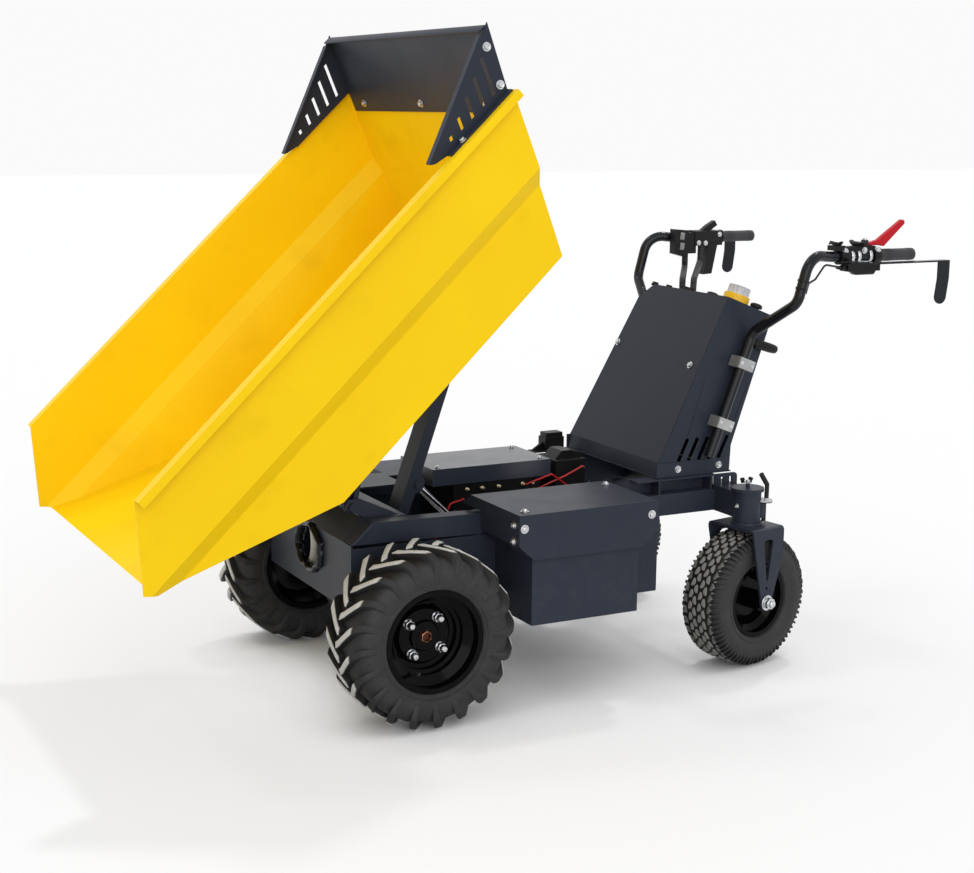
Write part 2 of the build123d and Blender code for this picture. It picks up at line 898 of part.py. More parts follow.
def battery_box(top, inner):
    """Left battery box: plain folded case below its cover, with a lower tail."""
    case = block(
        box_rear_x, box_front_x, inner, box_outer_y, box_bottom, top - cover_sheet - seat_gap
    )
    tail_top = top - box_tail_step
    tail = block(
        box_tail_x, box_rear_x + 1.0, inner, tub_half + box_tail_width, box_bottom + 6.0, tail_top
    )
    return case + tail


def battery_cover(top, inner_y):
    """Left cover: folded lid whose end skirts stand proud and taper in at the bottom."""
    low = top - cover_skirt
    foot = low - cover_taper_height
    sheet = cover_sheet
    outline = [
        (cover_front_x, top),
        (cover_rear_x, top),
        (cover_rear_x, low),
        (cover_rear_x + cover_taper, foot),
        (cover_front_x - cover_taper, foot),
        (cover_front_x, low),
    ]
    cover = side_prism(outline, inner_y, cover_outer_y)
    room = block(
        box_rear_x - seat_gap,
        box_front_x + seat_gap,
        inner_y + sheet,
        cover_outer_y - sheet,
        0,
        top - sheet,
    )
    cover = cover - room
    if inner_y < tub_half:
        rail_room = block(cover_rear_x - 5, cover_front_x + 5, 0, tub_half + seat_gap, 0, rail_top + 2.0)
        wing = cross_prism(
            [
                (inner_y + 1.0, top - sheet),
                (inner_y - cover_wing, rail_top + 1.0),
                (tub_half, rail_top + 1.0),
                (tub_half, top - sheet),
            ],
            cover_front_x - sheet,
            cover_front_x,
        )
        cover = (cover - rail_room) + wing
    return cover


def controller_lid():
    low = lid_top - lid_height
    sheet = cover_sheet
    lid = block(lid_rear_x, lid_front_x, lid_far_y, lid_near_y, low, lid_top)
    room = block(
        lid_rear_x + sheet, lid_front_x - sheet, lid_far_y + sheet, lid_near_y - sheet, 0, lid_top - sheet
    )
    return lid - room


def controller_block():
    """Controller housing under the lid, standing on the tub floor."""
    return block(
        lid_rear_x + 2 * lid_lap,
        pan_front_x - frame_sheet - seat_gap,
        lid_far_y + lid_lap,
        lid_near_y - lid_lap,
        tub_bottom + frame_sheet,
        lid_top - cover_sheet - seat_gap,
    )


def charger_unit():
    """Charger housing behind the controller, with its slanted plug cap on top."""
    housing = block(
        charger_rear_x, charger_front_x, charger_far_y, charger_near_y, tub_bottom + frame_sheet, charger_top
    )
    length = charger_front_x - charger_rear_x
    cap = side_prism(
        [
            (charger_front_x - 3.0, charger_top),
            (charger_front_x - 0.28 * length, charger_top + charger_cap),
            (charger_front_x - 0.55 * length, charger_top + charger_cap),
            (charger_rear_x + 4.0, charger_top + 0.6 * charger_cap),
            (charger_rear_x + 4.0, charger_top),
        ],
        charger_far_y + 30.0,
        charger_near_y - 12.0,
    )
    return housing + cap


def rest_post():
    """Right bed rest: foot plate on the rail channel, post, sloped gusset and rubber pad."""
    y0 = rest_y - rest_half
    y1 = rest_y + rest_half
    foot_low = shelf_z + seat_gap
    foot_high = foot_low + shelf_sheet
    foot_front = rest_front_x + rest_foot
    foot = block(rest_rear_x, foot_front, y0, y1, foot_low, foot_high)
    post = block(rest_rear_x, rest_front_x, y0, y1, foot_low, rest_top - rest_pad)
    gusset = side_prism(
        [
            (rest_front_x - 1.0, foot_high - 1.0),
            (foot_front, foot_high - 1.0),
            (foot_front, foot_high),
            (rest_front_x, rest_top - 25.0),
            (rest_front_x - 1.0, rest_top - 25.0),
        ],
        rest_y - 3.0,
        rest_y + 3.0,
    )
    pad = block(rest_rear_x + 3.0, rest_front_x - 3.0, y0 + 3.0, y1 - 3.0, rest_top - rest_pad, rest_top)
    return foot + post + gusset + pad


def rear_frame():
    """Two rear rails with open channels above, cross beam, posts and slotted plates."""
    half = rear_rail_width / 2
    channel_top = shelf_z
    sheet = channel_sheet
    pieces = []
    for side in (1, -1):
        inner = side * (rear_rail_y - half)
        outer = side * (rear_rail_y + half)
        pieces.append(
            block(beam_front_x - 1, rear_rail_front_x, inner, outer, rear_rail_low, rear_rail_high)
        )
        web_y = inner + side * sheet
        front = rear_rail_front_x
        web = [
            (beam_front_x - 1, rear_rail_high - 1),
            (front + channel_slope, rear_rail_high - 1),
            (front, channel_top),
            (beam_front_x - 1, channel_top),
        ]
        pieces.append(side_prism(web, min(inner, web_y), max(inner, web_y)))
        pieces.append(block(beam_front_x - 1, front, inner, outer, channel_top - sheet, channel_top))
        for post_x in (post_front_x, post_rear_x):
            pieces.append(
                block(post_x, post_x + post_width, inner, outer, rear_rail_high - 1, channel_top - 1)
            )
        plate_y = outer - side * 5.0
        plate = side_prism(
            [
                (beam_front_x + 1.0, beam_low + 22.0),
                (beam_front_x + 1.0, channel_top),
                (slot_plate_rear_x + 8.0, channel_top),
                (slot_plate_rear_x + 2.0, channel_top - 3.0),
                (slot_plate_rear_x, channel_top - 9.0),
                (slot_plate_rear_x, beam_low + 22.0),
            ],
            min(plate_y, outer),
            max(plate_y, outer),
        )
        for slot_x in slot_places:
            plate = plate - block(
                slot_x - slot_width / 2,
                slot_x + slot_width / 2,
                plate_y - 9,
                plate_y + 9,
                beam_high,
                channel_top - 9.0,
            )
        pieces.append(plate)
    beam = block(
        beam_front_x - beam_depth,
        beam_front_x,
        -rear_rail_y - half,
        rear_rail_y + half,
        beam_low,
        beam_high,
    )
    for piece in pieces:
        beam = beam + piece
    return beam


def console_shelf():
    """Shelf plate with folded sides that hold the console's foot between them."""
    low = shelf_z + seat_gap
    inner = console_half + seat_gap
    outer = inner + shelf_sheet
    shelf = block(shelf_rear_x, shelf_front_x, -outer, outer, low, low + shelf_sheet)
    for side in (1, -1):
        y0, y1 = sorted((side * inner, side * outer))
        shelf = shelf + block(upstand_rear_x, shelf_front_x, y0, y1, low, low + shelf_upstand)
    return shelf


# =====================================================================================
# bed, in its own frame: x along the rim from the rear, z up, rim at z = 0
# =====================================================================================
def place_bed(shape):
    return Pos(bed_rim_x, 0, bed_rim_z) * Rot(0, bed_tilt, 0) * shape


def bed_section(wall, top):
    """Half sections of the pressed side mirrored into one outline of (y, z)."""
    half = [
        (bed_half - wall, top),
        (bed_half - wall, 0.0),
        (bed_half - step_top_taper - wall, -step_top),
        (bed_half - step_bottom_taper - wall, -step_bottom),
        (bed_half - bed_floor_taper - wall, -bed_depth + wall),
    ]
    return half + [(-y, z) for y, z in reversed(half)]


def bed_solid(wall, top, front_extra):
    """The bed's envelope drawn in by wall: pressed section cut to the side profile."""
    section = cross_prism(bed_section(wall, top), -50.0, spout_tip_s + 100.0)
    slope = (spout_heel_n - bed_depth) / (spout_heel_s - floor_end_s)
    lift = wall * math.hypot(1.0, slope)
    rear_lean = rear_panel_run / bed_depth
    rear_wall = wall * math.hypot(1.0, rear_lean)
    floor_z = -bed_depth + wall
    rear = [(rear_wall + rear_panel_run, floor_z), (rear_wall - rear_lean * top, top)]
    if front_extra:
        open_end = spout_tip_s + front_extra
        front = [
            (open_end, top),
            (open_end, -bed_depth + lift - slope * (open_end - floor_end_s)),
        ]
    else:
        front = [
            (bed_rim_length, 0.0),
            (spout_tip_s, -spout_tip_n),
            (spout_heel_s, -spout_heel_n),
        ]
    outline = rear + front + [(floor_end_s, floor_z)]
    profile = side_prism(outline, -bed_half - 10.0, bed_half + 10.0)
    return section & profile


def bed_shell():
    outer = bed_solid(0.0, 0.0, 0.0)
    inner = bed_solid(bed_sheet, 10.0, 60.0)
    shell = outer - inner
    lip = cross_prism(
        [
            (bed_half - bed_sheet, 0.0),
            (rim_half, 0.0),
            (rim_half, -rim_drop),
            (rim_half - bed_sheet, -rim_drop),
            (rim_half - bed_sheet, -bed_sheet),
            (bed_half - bed_sheet, -bed_sheet),
        ],
        0.0,
        bed_rim_length,
    )
    shell = shell + lip + mirrored(lip)
    return place_bed(shell)


def bed_subframe():
    """Two long runners, two crosspieces, the roller track and the hinge plates."""
    top = -bed_depth - seat_gap
    low = top - subrail_depth
    frame = None
    for side in (1, -1):
        y0 = side * hinge_y - subrail_width / 2
        rail = block(subrail_rear_s, floor_end_s - 24.0, y0, y0 + subrail_width, low, top)
        frame = rail if frame is None else frame + rail
    for s0 in crosspiece_places:
        frame = frame + block(s0, s0 + crosspiece_width, -hinge_y, hinge_y, low, top)
    track = block(track_rear_s, track_front_s, arm_y - track_half, arm_y + track_half, top - track_depth, top)
    frame = place_bed(frame + track)
    near = place_bed(Pos(floor_end_s - 30.0, 0, low) * Box(1, 1, 1)).center()
    far = place_bed(Pos(floor_end_s - 190.0, 0, low) * Box(1, 1, 1)).center()
    plate_outline = [
        (near.X, near.Z + 6.0),
        (far.X, far.Z + 6.0),
        (hinge_x - hinge_bush_radius + 2.0, hinge_z + 4.0),
        (hinge_x, hinge_z - hinge_bush_radius + 3.0),
        (hinge_x + hinge_bush_radius - 2.0, hinge_z + 4.0),
    ]
    for side in (1, -1):
        y0 = side * hinge_y - hinge_plate / 2
        plate = side_prism(plate_outline, y0, y0 + hinge_plate)
        boss = cross_rod(hinge_x, hinge_z, y0, y0 + hinge_plate, hinge_bush_radius)
        bore = cross_rod(
            hinge_x, hinge_z, y0 - 1, y0 + hinge_plate + 1, hinge_pin_radius + shaft_gap
        )
        frame = frame + ((plate + boss) - bore)
    return frame


def head_guard():
    """Back plate bolted inside the rear panel, with a folded top edge."""
    lean = rear_panel_run / bed_depth
    start = bed_sheet * math.hypot(1.0, lean) + seat_gap
    low = -guard_overlap
    high = guard_rise

    def on_plane(z, offset):
        return (start + offset - lean * z, z)

    sheet = guard_sheet
    outline = [
        on_plane(low, 0.0),
        on_plane(low, sheet),
        on_plane(high - sheet, sheet),
        (on_plane(high, 0)[0] + guard_flange, high - sheet),
        (on_plane(high, 0)[0] + guard_flange, high),
        on_plane(high, 0.0),
    ]
    return place_bed(side_prism(outline, -guard_half, guard_half))


def guard_wing():
    """Left wing: slotted triangle with a folded front edge and a bolted foot."""
    lean = rear_panel_run / bed_depth
    y0 = guard_half + seat_gap
    y1 = y0 + guard_sheet
    top = (-lean * guard_rise - 2.0, guard_rise + 2.0)
    heel = (6.0, seat_gap)
    tip_low = (wing_tip_s - 46.0, seat_gap)
    tip = (wing_tip_s, 14.0)
    wing = side_prism([top, heel, tip_low, (wing_tip_s - 10.0, 8.0), tip], y0, y1)
    edge = Vector(tip[0] - top[0], 0, tip[1] - top[1])
    edge_length = edge.length
    along = edge / edge_length
    normal = Vector(along.Z, 0, -along.X)
    for index in range(wing_slots):
        share = (index + 0.75) / (wing_slots + 0.55)
        foot = Vector(heel[0] + share * (tip_low[0] - heel[0]) + 4.0, 0, 16.0)
        height = (1.0 - share) * guard_rise * 0.78 - 8.0
        if height < 10.0:
            height = 10.0
        lean_dir = Vector(-lean, 0, 1.0).normalized()
        head = foot + lean_dir * height
        slot = side_prism(
            [
                (foot.X - 4.5, foot.Z),
                (foot.X + 4.5, foot.Z),
                (head.X + 4.5, head.Z),
                (head.X - 4.5, head.Z),
            ],
            y0 - 1,
            y1 + 1,
        )
        wing = wing - slot
    fold_top = (top[0] + along.X * 30.0, top[1] + along.Z * 30.0)
    fold = side_prism(
        [
            fold_top,
            (fold_top[0] - normal.X * 4.0, fold_top[1] - normal.Z * 4.0),
            (tip[0] - normal.X * 4.0, tip[1] - normal.Z * 4.0),
            tip,
        ],
        y0 - 14.0,
        y1,
    )
    foot_plate = block(4.0, 200.0, y0, y0 + wing_foot_width, seat_gap, seat_gap + guard_sheet)
    return place_bed(wing + fold + foot_plate)


# =====================================================================================
# lift arm and cylinder
# =====================================================================================
def place_arm(shape):
    """Arm frame: x along the arm from its pivot, z towards its front face."""
    return Pos(arm_x, arm_y, arm_z) * Rot(0, -(180.0 - arm_angle), 0) * shape


def lift_arm():
    """Folded channel open to the rear, hub at the pivot and roller at the tip."""
    half = arm_width / 2
    face = -arm_depth / 2
    arm = block(0, arm_length, -half, half, face, face + arm_plate)
    for y0 in (-half, half - arm_plate):
        arm = arm + block(0, arm_length, y0, y0 + arm_plate, face, -face)
    arm = arm + cross_rod(0, 0, -half, half, arm_hub_radius)
    arm = arm + cross_rod(arm_length, 0, -half, half, roller_radius - 6.0)
    arm = arm + cross_rod(arm_length, 0, -half + 8.0, half - 8.0, roller_radius)
    lug_outline = [
        (arm_eye_along - 34.0, 0.0),
        (arm_eye_along + 34.0, 0.0),
        (arm_eye_along + 12.0, arm_eye_off + 14.0),
        (arm_eye_along - 12.0, arm_eye_off + 14.0),
    ]
    for y0 in (-half, half - arm_plate):
        arm = arm + side_prism(lug_outline, y0, y0 + arm_plate)
    for y0 in (-half - 5.0, half):
        arm = arm + cross_rod(arm_eye_along, arm_eye_off, y0, y0 + 5.0, pin_radius + 4.0)
    arm = arm - cross_rod(0, 0, -half - 1, half + 1, arm_shaft_radius + shaft_gap)
    return place_arm(arm)


def place_cylinder(shape):
    return Pos(cylinder_x, arm_y, cylinder_z) * Rot(0, -cylinder_angle, 0) * shape


def cylinder_barrel():
    """Barrel with its base eye, gland ring and the bore that takes the rod."""
    barrel = rod_between((eye_neck, 0, 0), (cylinder_barrel_length, 0, 0), cylinder_radius)
    gland = rod_between(
        (cylinder_barrel_length - 16.0, 0, 0), (cylinder_barrel_length, 0, 0), cylinder_radius + 2.5
    )
    eye = cross_rod(0, 0, -eye_width / 2, eye_width / 2, eye_radius)
    neck = block(
        2.0, eye_neck + 4.0, -eye_width / 2, eye_width / 2, 3.0 - eye_radius, eye_radius - 3.0
    )
    bore = cross_rod(0, 0, -eye_width, eye_width, pin_radius + shaft_gap)
    rod_room = rod_between((eye_neck + 6.0, 0, 0), (cylinder_barrel_length + 1, 0, 0), rod_radius + shaft_gap)
    return place_cylinder((barrel + gland + eye + neck) - bore - rod_room)


def cylinder_rod():
    """Rod with its eye and the pin that rides between the arm's lugs."""
    start = rod_pin_distance - rod_length
    rod = rod_between((start, 0, 0), (rod_pin_distance - eye_radius + 3.0, 0, 0), rod_radius)
    eye = cross_rod(rod_pin_distance, 0, -eye_width / 2, eye_width / 2, eye_radius)
    pin_half = arm_width / 2 - arm_plate - 2.0
    pin = cross_rod(rod_pin_distance, 0, -pin_half, pin_half, pin_radius)
    return place_cylinder(rod + eye + pin)


# =====================================================================================
# console
# =====================================================================================
def console_louvre(index):
    """One slanted slot with round ends through both side plates."""
    half = louvre_width / 2
    low_x = louvre_first_x - louvre_pitch * index
    low = (low_x, louvre_low_z)
    high = (low_x - louvre_lean * louvre_length, louvre_low_z + louvre_length - louvre_width)
    reach = console_half + 5.0
    slot = side_prism(
        [
            (low[0] - half, low[1]),
            (low[0] + half, low[1]),
            (high[0] + half, high[1]),
            (high[0] - half, high[1]),
        ],
        -reach,
        reach,
    )
    for x, z in (low, high):
        slot = slot + cross_rod(x, z, -reach, reach, half)
    return slot


def far_profile(inset):
    """Right side of the console seen from the front, as (y, z), drawn in by inset."""
    top_y = -console_half + far_side_lean + inset
    return [
        (-console_half + inset, console_base_z - 5.0),
        (-console_half + inset, console_knee[1]),
        (top_y, far_corner_low_z),
        (top_y + far_corner_run + 0.4 * inset, far_corner_high_z),
    ]


def console_side(side):
    """Side plate, bent from the foot to the brow, slotted low down."""
    outline = [
        console_foot, console_knee, console_brow, console_tail, console_hip, console_heel, console_back_foot
    ]
    if side > 0:
        plate = side_prism(outline, console_half - cover_sheet, console_half)
    else:
        strip = far_profile(0.0) + list(reversed(far_profile(cover_sheet)))
        band = cross_prism(strip, console_tail[0] - 20.0, console_foot[0] + 20.0)
        plate = side_prism(outline, -console_half - 5.0, 0.0) & band
    for index in range(louvre_count):
        plate = plate - console_louvre(index)
    return plate


def console_inside():
    """Space between the two side plates, as seen from the front."""
    reach = console_half - cover_sheet - seat_gap
    outline = far_profile(cover_sheet + seat_gap)
    outline = outline + [(reach, far_corner_high_z), (reach, console_base_z - 5.0)]
    return cross_prism(outline, console_tail[0] - 20.0, console_foot[0] + 20.0)


def console_front():
    """Foot, long leaning front and sloping top in one folded sheet."""
    sheet = cover_sheet
    outer = [console_foot, console_knee, console_brow, console_tail]
    inner = [
        (console_tail[0] + 0.4 * sheet, console_tail[1] - 1.1 * sheet),
        (console_brow[0] - 0.6 * sheet, console_brow[1] - 1.35 * sheet),
        (console_knee[0] - 1.1 * sheet, console_knee[1] + 0.2 * sheet),
        (console_foot[0] - sheet, console_foot[1]),
    ]
    return side_prism(outer + inner, -console_half, console_half) & console_inside()


def console_back():
    """Back panel from under the top's rear edge down to the shelf."""
    sheet = cover_sheet
    drop = 3.0
    top = (console_tail[0] + 0.4 * drop, console_tail[1] - drop - seat_gap)
    outline = [
        top,
        console_hip,
        console_heel,
        console_back_foot,
        (console_back_foot[0] + sheet, console_back_foot[1]),
        (console_heel[0] + sheet, console_heel[1]),
        (console_hip[0] + sheet, console_hip[1]),
        (top[0] + sheet, top[1] + 0.8),
    ]
    return side_prism(outline, -console_half, console_half) & console_inside()


def top_height(x):
    """Height of the console's sloping top at x."""
    slope = (console_brow[1] - console_tail[1]) / (console_brow[0] - console_tail[0])
    return console_brow[1] + slope * (x - console_brow[0])


def on_top(x, y, shape):
    """Stand a shape on the console's sloping top."""
    slope = (console_brow[1] - console_tail[1]) / (console_brow[0] - console_tail[0])
    return Pos(x, y, top_height(x) + seat_gap) * Rot(0, -math.degrees(math.atan(slope)), 0) * shape


def console_controls():
    """Knobs and clip on the console's top, and the oval stub lever by its left side."""
    upright = (Align.CENTER, Align.CENTER, Align.MIN)
    controls = []
    for x, y, radius, height in knob_places:
        knob = Cylinder(radius * 0.6, height, align=upright) + Pos(0, 0, height / 2) * Cylinder(
            radius, height / 2, align=upright
        )
        controls.append(on_top(x, y, knob))
    inner = console_half + seat_gap
    lever_y = console_half + seat_gap + side_lever_radius
    start = (side_lever_front[0], lever_y, side_lever_front[1])
    end = (side_lever_rear[0], lever_y, side_lever_rear[1])
    lever = rod_between(start, end, side_lever_radius) + Pos(*start) * Sphere(side_lever_radius)
    controls.append(lever + Pos(*end) * Sphere(side_lever_radius))
    return controls


# =====================================================================================
# handlebars, controls and small fittings
# =====================================================================================
def bar_path():
    foot = Vector(bar_foot[0], bar_clamp_y, bar_foot[1])
    knee = Vector(bar_knee[0], bar_clamp_y, bar_knee[1])
    elbow = Vector(*bar_elbow)
    crown = Vector(*bar_crown)
    wrist = Vector(bar_wrist_x, grip_y, grip_z)
    end = Vector(grip_rear_x + grip_cap + 2 * seat_gap, grip_y, grip_z)
    return foot, knee, elbow, crown, wrist, end


def handlebar():
    """Left handlebar: one tube bent out, up and back, clamped to the console's side."""
    points = bar_path()
    path = FilletPolyline(*points, radius=list(bar_bends))
    section = Plane(origin=points[0], z_dir=points[1] - points[0]) * Circle(bar_radius)
    return sweep(section, path=path)


def grip():
    """Left grip: a rubber sleeve with a closed end over the tube's straight end."""
    front = (grip_rear_x + grip_length, grip_y, grip_z)
    flange_end = (front[0] + 4.0, grip_y, grip_z)
    sleeve = rod_between((grip_rear_x, grip_y, grip_z), front, grip_radius)
    room = rod_between((grip_rear_x + grip_cap + seat_gap, grip_y, grip_z), flange_end, bar_radius + seat_gap)
    flange = rod_between(front, flange_end, grip_radius + 4.0)
    tip = rod_between((grip_rear_x, grip_y, grip_z), (grip_rear_x + 5.0, grip_y, grip_z), grip_radius)
    bevel = chamfer(tip.faces().sort_by(Axis.X)[0].edges(), 3.0)
    return (sleeve + flange) - (tip - bevel) - room


def guard_bar():
    """Left hand guard: flat bar out from the clamp ring, back past the grip, then a hanging plate."""
    top = grip_z - guard_bar_sink
    low = top - guard_bar_sheet
    width = guard_bar_width
    drop_sheet = guard_bar_sheet - 1.0
    start_y = grip_y + math.sqrt(ring_radius ** 2 - guard_bar_sink ** 2) + seat_gap
    corner_cut = 14.0
    flat = plan_prism(
        [
            (guard_bar_front_x - width, start_y),
            (guard_bar_front_x, start_y),
            (guard_bar_front_x, guard_bar_y - corner_cut),
            (guard_bar_front_x - corner_cut, guard_bar_y),
            (guard_bar_rear_x, guard_bar_y),
            (guard_bar_rear_x, guard_bar_y - width),
            (guard_bar_front_x - width, guard_bar_y - width),
        ],
        low,
        top,
    )
    end_radius = guard_drop_width / 2
    rear = guard_bar_rear_x
    front = rear + guard_drop_width
    bottom = low - guard_drop + end_radius
    lean = 6.0
    drop = side_prism(
        [
            (rear, top),
            (front, top),
            (front, (top + bottom) / 2),
            (front + lean, bottom),
            (rear + lean, bottom),
            (rear, (top + bottom) / 2),
        ],
        guard_bar_y - drop_sheet,
        guard_bar_y,
    )
    end = cross_rod(rear + lean + end_radius, bottom, guard_bar_y - drop_sheet, guard_bar_y, end_radius)
    return flat + drop + end


def clamp_ring(x0, x1, radius):
    """Clamp ring round the left tube."""
    return rod_between((x0, grip_y, grip_z), (x1, grip_y, grip_z), radius)


def lever_clamps():
    """Left hand control: two clamp rings, bridge, cable stop, pivot boss and lower housing."""
    inner = grip_y - 16.0
    outer = grip_y + 13.0
    clamp = clamp_ring(ring_rear_x, ring_front_x, ring_radius)
    clamp = clamp + clamp_ring(-1256.0, -1236.0, ring_radius + 1.0)
    clamp = clamp + block(-1240.0, ring_front_x - 14.0, inner, outer, grip_z + 6.0, grip_z + 24.0)
    clamp = clamp + block(-1258.0, -1158.0, grip_y - 13.0, outer, grip_z - 37.0, grip_z - 17.0)
    clamp = clamp + rod_between((-1216.0, grip_y, grip_z + 20.0), (-1216.0, grip_y, grip_z + 38.0), 9.0)
    loop_rear = ring_front_x - 12.0
    loop_front = ring_front_x + 20.0
    loop = block(loop_rear, loop_front, inner, outer, grip_z + 15.0, grip_z + 27.0)
    loop = loop - block(loop_rear + 8.0, loop_front - 8.0, inner + 7.0, outer - 7.0, grip_z, grip_z + 40.0)
    clamp = clamp + loop
    bore = rod_between((-1300.0, grip_y, grip_z), (-1100.0, grip_y, grip_z), bar_radius + seat_gap)
    return clamp - bore


def park_lever():
    """Red blade that stands up from the left clamp and leans back over the grip."""
    seat = grip_z + 24.0 + seat_gap
    blade = [
        (-1226.0, seat),
        (-1258.0, seat),
        (-1274.0, seat - 3.0),
        (-1338.5, grip_z + 77.0),
        (-1337.0, grip_z + 84.0),
        (-1329.5, grip_z + 86.5),
        (-1256.0, grip_z + 38.0),
        (-1230.0, grip_z + 32.0),
    ]
    return side_prism(blade, grip_y - 9.0, grip_y + 3.0)


def switch_boxes():
    """Right hand controls: tilted switch box, throttle housing with thumb paddle, hanging box."""
    tube_y = -grip_y
    front = side_prism(
        [(-1081.0, 1023.0), (-1127.0, 1019.0), (-1118.0, 946.0), (-1081.0, 956.0)],
        tube_y + 15.0,
        tube_y + 41.0,
    )
    front = front + block(-1156.0, -1118.0, tube_y - 14.0, tube_y + 34.0, 955.0, 1012.0)
    middle = block(-1242.0, -1150.0, tube_y - 14.0, tube_y + 36.0, 976.0, 1016.0)
    hanging = side_prism(
        [(-1194.0, 980.0), (-1226.0, 986.0), (-1208.0, 898.0), (-1180.0, 896.0)],
        tube_y + 6.0,
        tube_y + 38.0,
    )
    paddle = side_prism(
        [(-1182.0, 1014.0), (-1210.0, 1014.0), (-1236.0, 1030.0), (-1228.0, 1043.0), (-1204.0, 1030.0)],
        tube_y + 2.0,
        tube_y + 18.0,
    )
    ring = rod_between((ring_rear_x, tube_y, grip_z), (ring_front_x, tube_y, grip_z), ring_radius)
    body = front + middle + hanging + paddle + ring
    return body - rod_between((-1300.0, tube_y, grip_z), (-1040.0, tube_y, grip_z), bar_radius + seat_gap)


def conduits():
    """Two corrugated hoses from the right housings to the console's top."""
    hoses = []
    for start, under, over, end in conduit_runs:
        foot = Vector(end[0], end[1], top_height(end[0]) - conduit_radius)
        points = [Vector(*start), Vector(*under), Vector(*over), foot]
        path = FilletPolyline(*points, radius=list(conduit_bends))
        section = Plane(origin=points[0], z_dir=points[1] - points[0]) * Circle(conduit_radius)
        hose = sweep(section, path=path)
        reach = 3 * conduit_radius
        below = side_prism(
            [
                (foot.X - reach, top_height(foot.X - reach) + seat_gap - 2 * reach),
                (foot.X + reach, top_height(foot.X + reach) + seat_gap - 2 * reach),
                (foot.X + reach, top_height(foot.X + reach) + seat_gap),
                (foot.X - reach, top_height(foot.X - reach) + seat_gap),
            ],
            foot.Y - reach,
            foot.Y + reach,
        )
        hoses.append(hose - below)
    return hoses


def beacon_base():
    upright = (Align.CENTER, Align.CENTER, Align.MIN)
    base = Cylinder(beacon_radius, beacon_height, align=upright)
    lens = Cylinder(beacon_lens_radius, beacon_lens_height, align=upright)
    lens = chamfer(lens.faces().sort_by(Axis.Z)[-1].edges(), 3.0)
    lens = Pos(0, 0, beacon_height + seat_gap) * lens
    return on_top(beacon_x, beacon_y, base), on_top(beacon_x, beacon_y, lens)


def bar_strap(height):
    """Left strap block: half round the tube, half against the console's side."""
    share = (height - bar_foot[1]) / (bar_knee[1] - bar_foot[1])
    x = bar_foot[0] + share * (bar_knee[0] - bar_foot[0])
    lean = math.degrees(math.atan2(bar_foot[0] - bar_knee[0], bar_knee[1] - bar_foot[1]))
    body = block(-24.0, 24.0, console_half + seat_gap, bar_clamp_y + bar_radius + 8.0, -14.0, 14.0)
    body = Pos(x, 0, height) * Rot(0, -lean, 0) * body
    foot = (bar_foot[0], bar_clamp_y, bar_foot[1])
    knee = (bar_knee[0], bar_clamp_y, bar_knee[1])
    return body - rod_between(foot, knee, bar_radius + seat_gap)


def wiring():
    """Red leads from the controller's side to the motor and to the charger."""
    leads = []
    for points in lead_runs:
        corners = [Vector(*point) for point in points]
        path = FilletPolyline(*corners, radius=lead_bend)
        section = Plane(origin=corners[0], z_dir=corners[1] - corners[0]) * Circle(wire_radius)
        leads.append(sweep(section, path=path))
    return leads


def brake_cable():
    """Cable from the left clamp's housing down behind the bent tube."""
    corners = [Vector(*point) for point in cable_run]
    path = FilletPolyline(*corners, radius=list(cable_bends))
    section = Plane(origin=corners[0], z_dir=corners[1] - corners[0]) * Circle(cable_radius)
    return sweep(section, path=path)


def build():
    os.makedirs("parts", exist_ok=True)
    tyre = drive_tyre()
    rim = drive_rim()
    small_tyre = Pos(0, 0, caster_radius) * caster_tyre()
    small_rim = Pos(0, 0, caster_radius) * caster_rim()
    fork = caster_fork()
    for side, name in ((1, "left"), (-1, "right")):
        save("drive_tyre_" + name, place_drive(tyre, side))
        save("drive_rim_" + name, place_drive(rim, side))
        save("caster_tyre_" + name, place_caster(small_tyre, side))
        save("caster_rim_" + name, place_caster(small_rim, side))
        save("caster_fork_" + name, place_caster(fork, side))
    save("caster_housings", both_sides(caster_housing()))
    save("lock_levers", both_sides(lock_lever()))
    save("nose_frame", nose_frame())
    save("side_rails", both_sides(side_rail()))
    save("side_panels", both_sides(side_panel()))
    save("floor_pan", floor_pan())
    save("pivot_shaft", pivot_shaft())
    save("axle_unit", axle_unit())
    save("drive_motor", drive_motor())
    beside_tub = tub_half + seat_gap
    under_cover = beside_tub + cover_sheet + seat_gap
    right_box = mirrored(battery_box(right_cover_top, under_cover))
    right_cover = mirrored(battery_cover(right_cover_top, beside_tub))
    save("battery_boxes", [battery_box(cover_top, beside_tub), right_box])
    save("battery_covers", [battery_cover(cover_top, cover_inner_y), right_cover])
    save("controller_lid", controller_lid())
    save("controller_block", controller_block())
    save("charger_unit", charger_unit())
    save("rest_pads", rest_post())
    save("rear_frame", rear_frame())
    save("console_shelf", console_shelf())
    save("console_sides", [console_side(1), console_side(-1)])
    save("console_front", console_front())
    save("console_back", console_back())
    save("console_controls", console_controls())
    save("handlebars", both_sides(handlebar()))
    save("tube_clamps", [piece for z in bar_strap_heights for piece in both_sides(bar_strap(z))])
    save("grips", both_sides(grip()))
    save("guard_bars", both_sides(guard_bar()))
    save("lever_clamps", lever_clamps())
    save("park_lever", park_lever())
    save("switch_boxes", switch_boxes())
    save("conduits", conduits())
    save("wiring", wiring())
    save("brake_cable", brake_cable())
    base, lens = beacon_base()
    save("beacon_base", base)
    save("beacon_lens", lens)
    save("bed_shell", bed_shell())
    save("bed_subframe", bed_subframe())
    save("head_guard", head_guard())
    save("guard_wings", both_sides(guard_wing()))
    save("lift_arm", lift_arm())
    save("cylinder_barrel", cylinder_barrel())
    save("cylinder_rod", cylinder_rod())


build()
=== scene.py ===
import bpy
import json
import math
from mathutils import Matrix, Vector


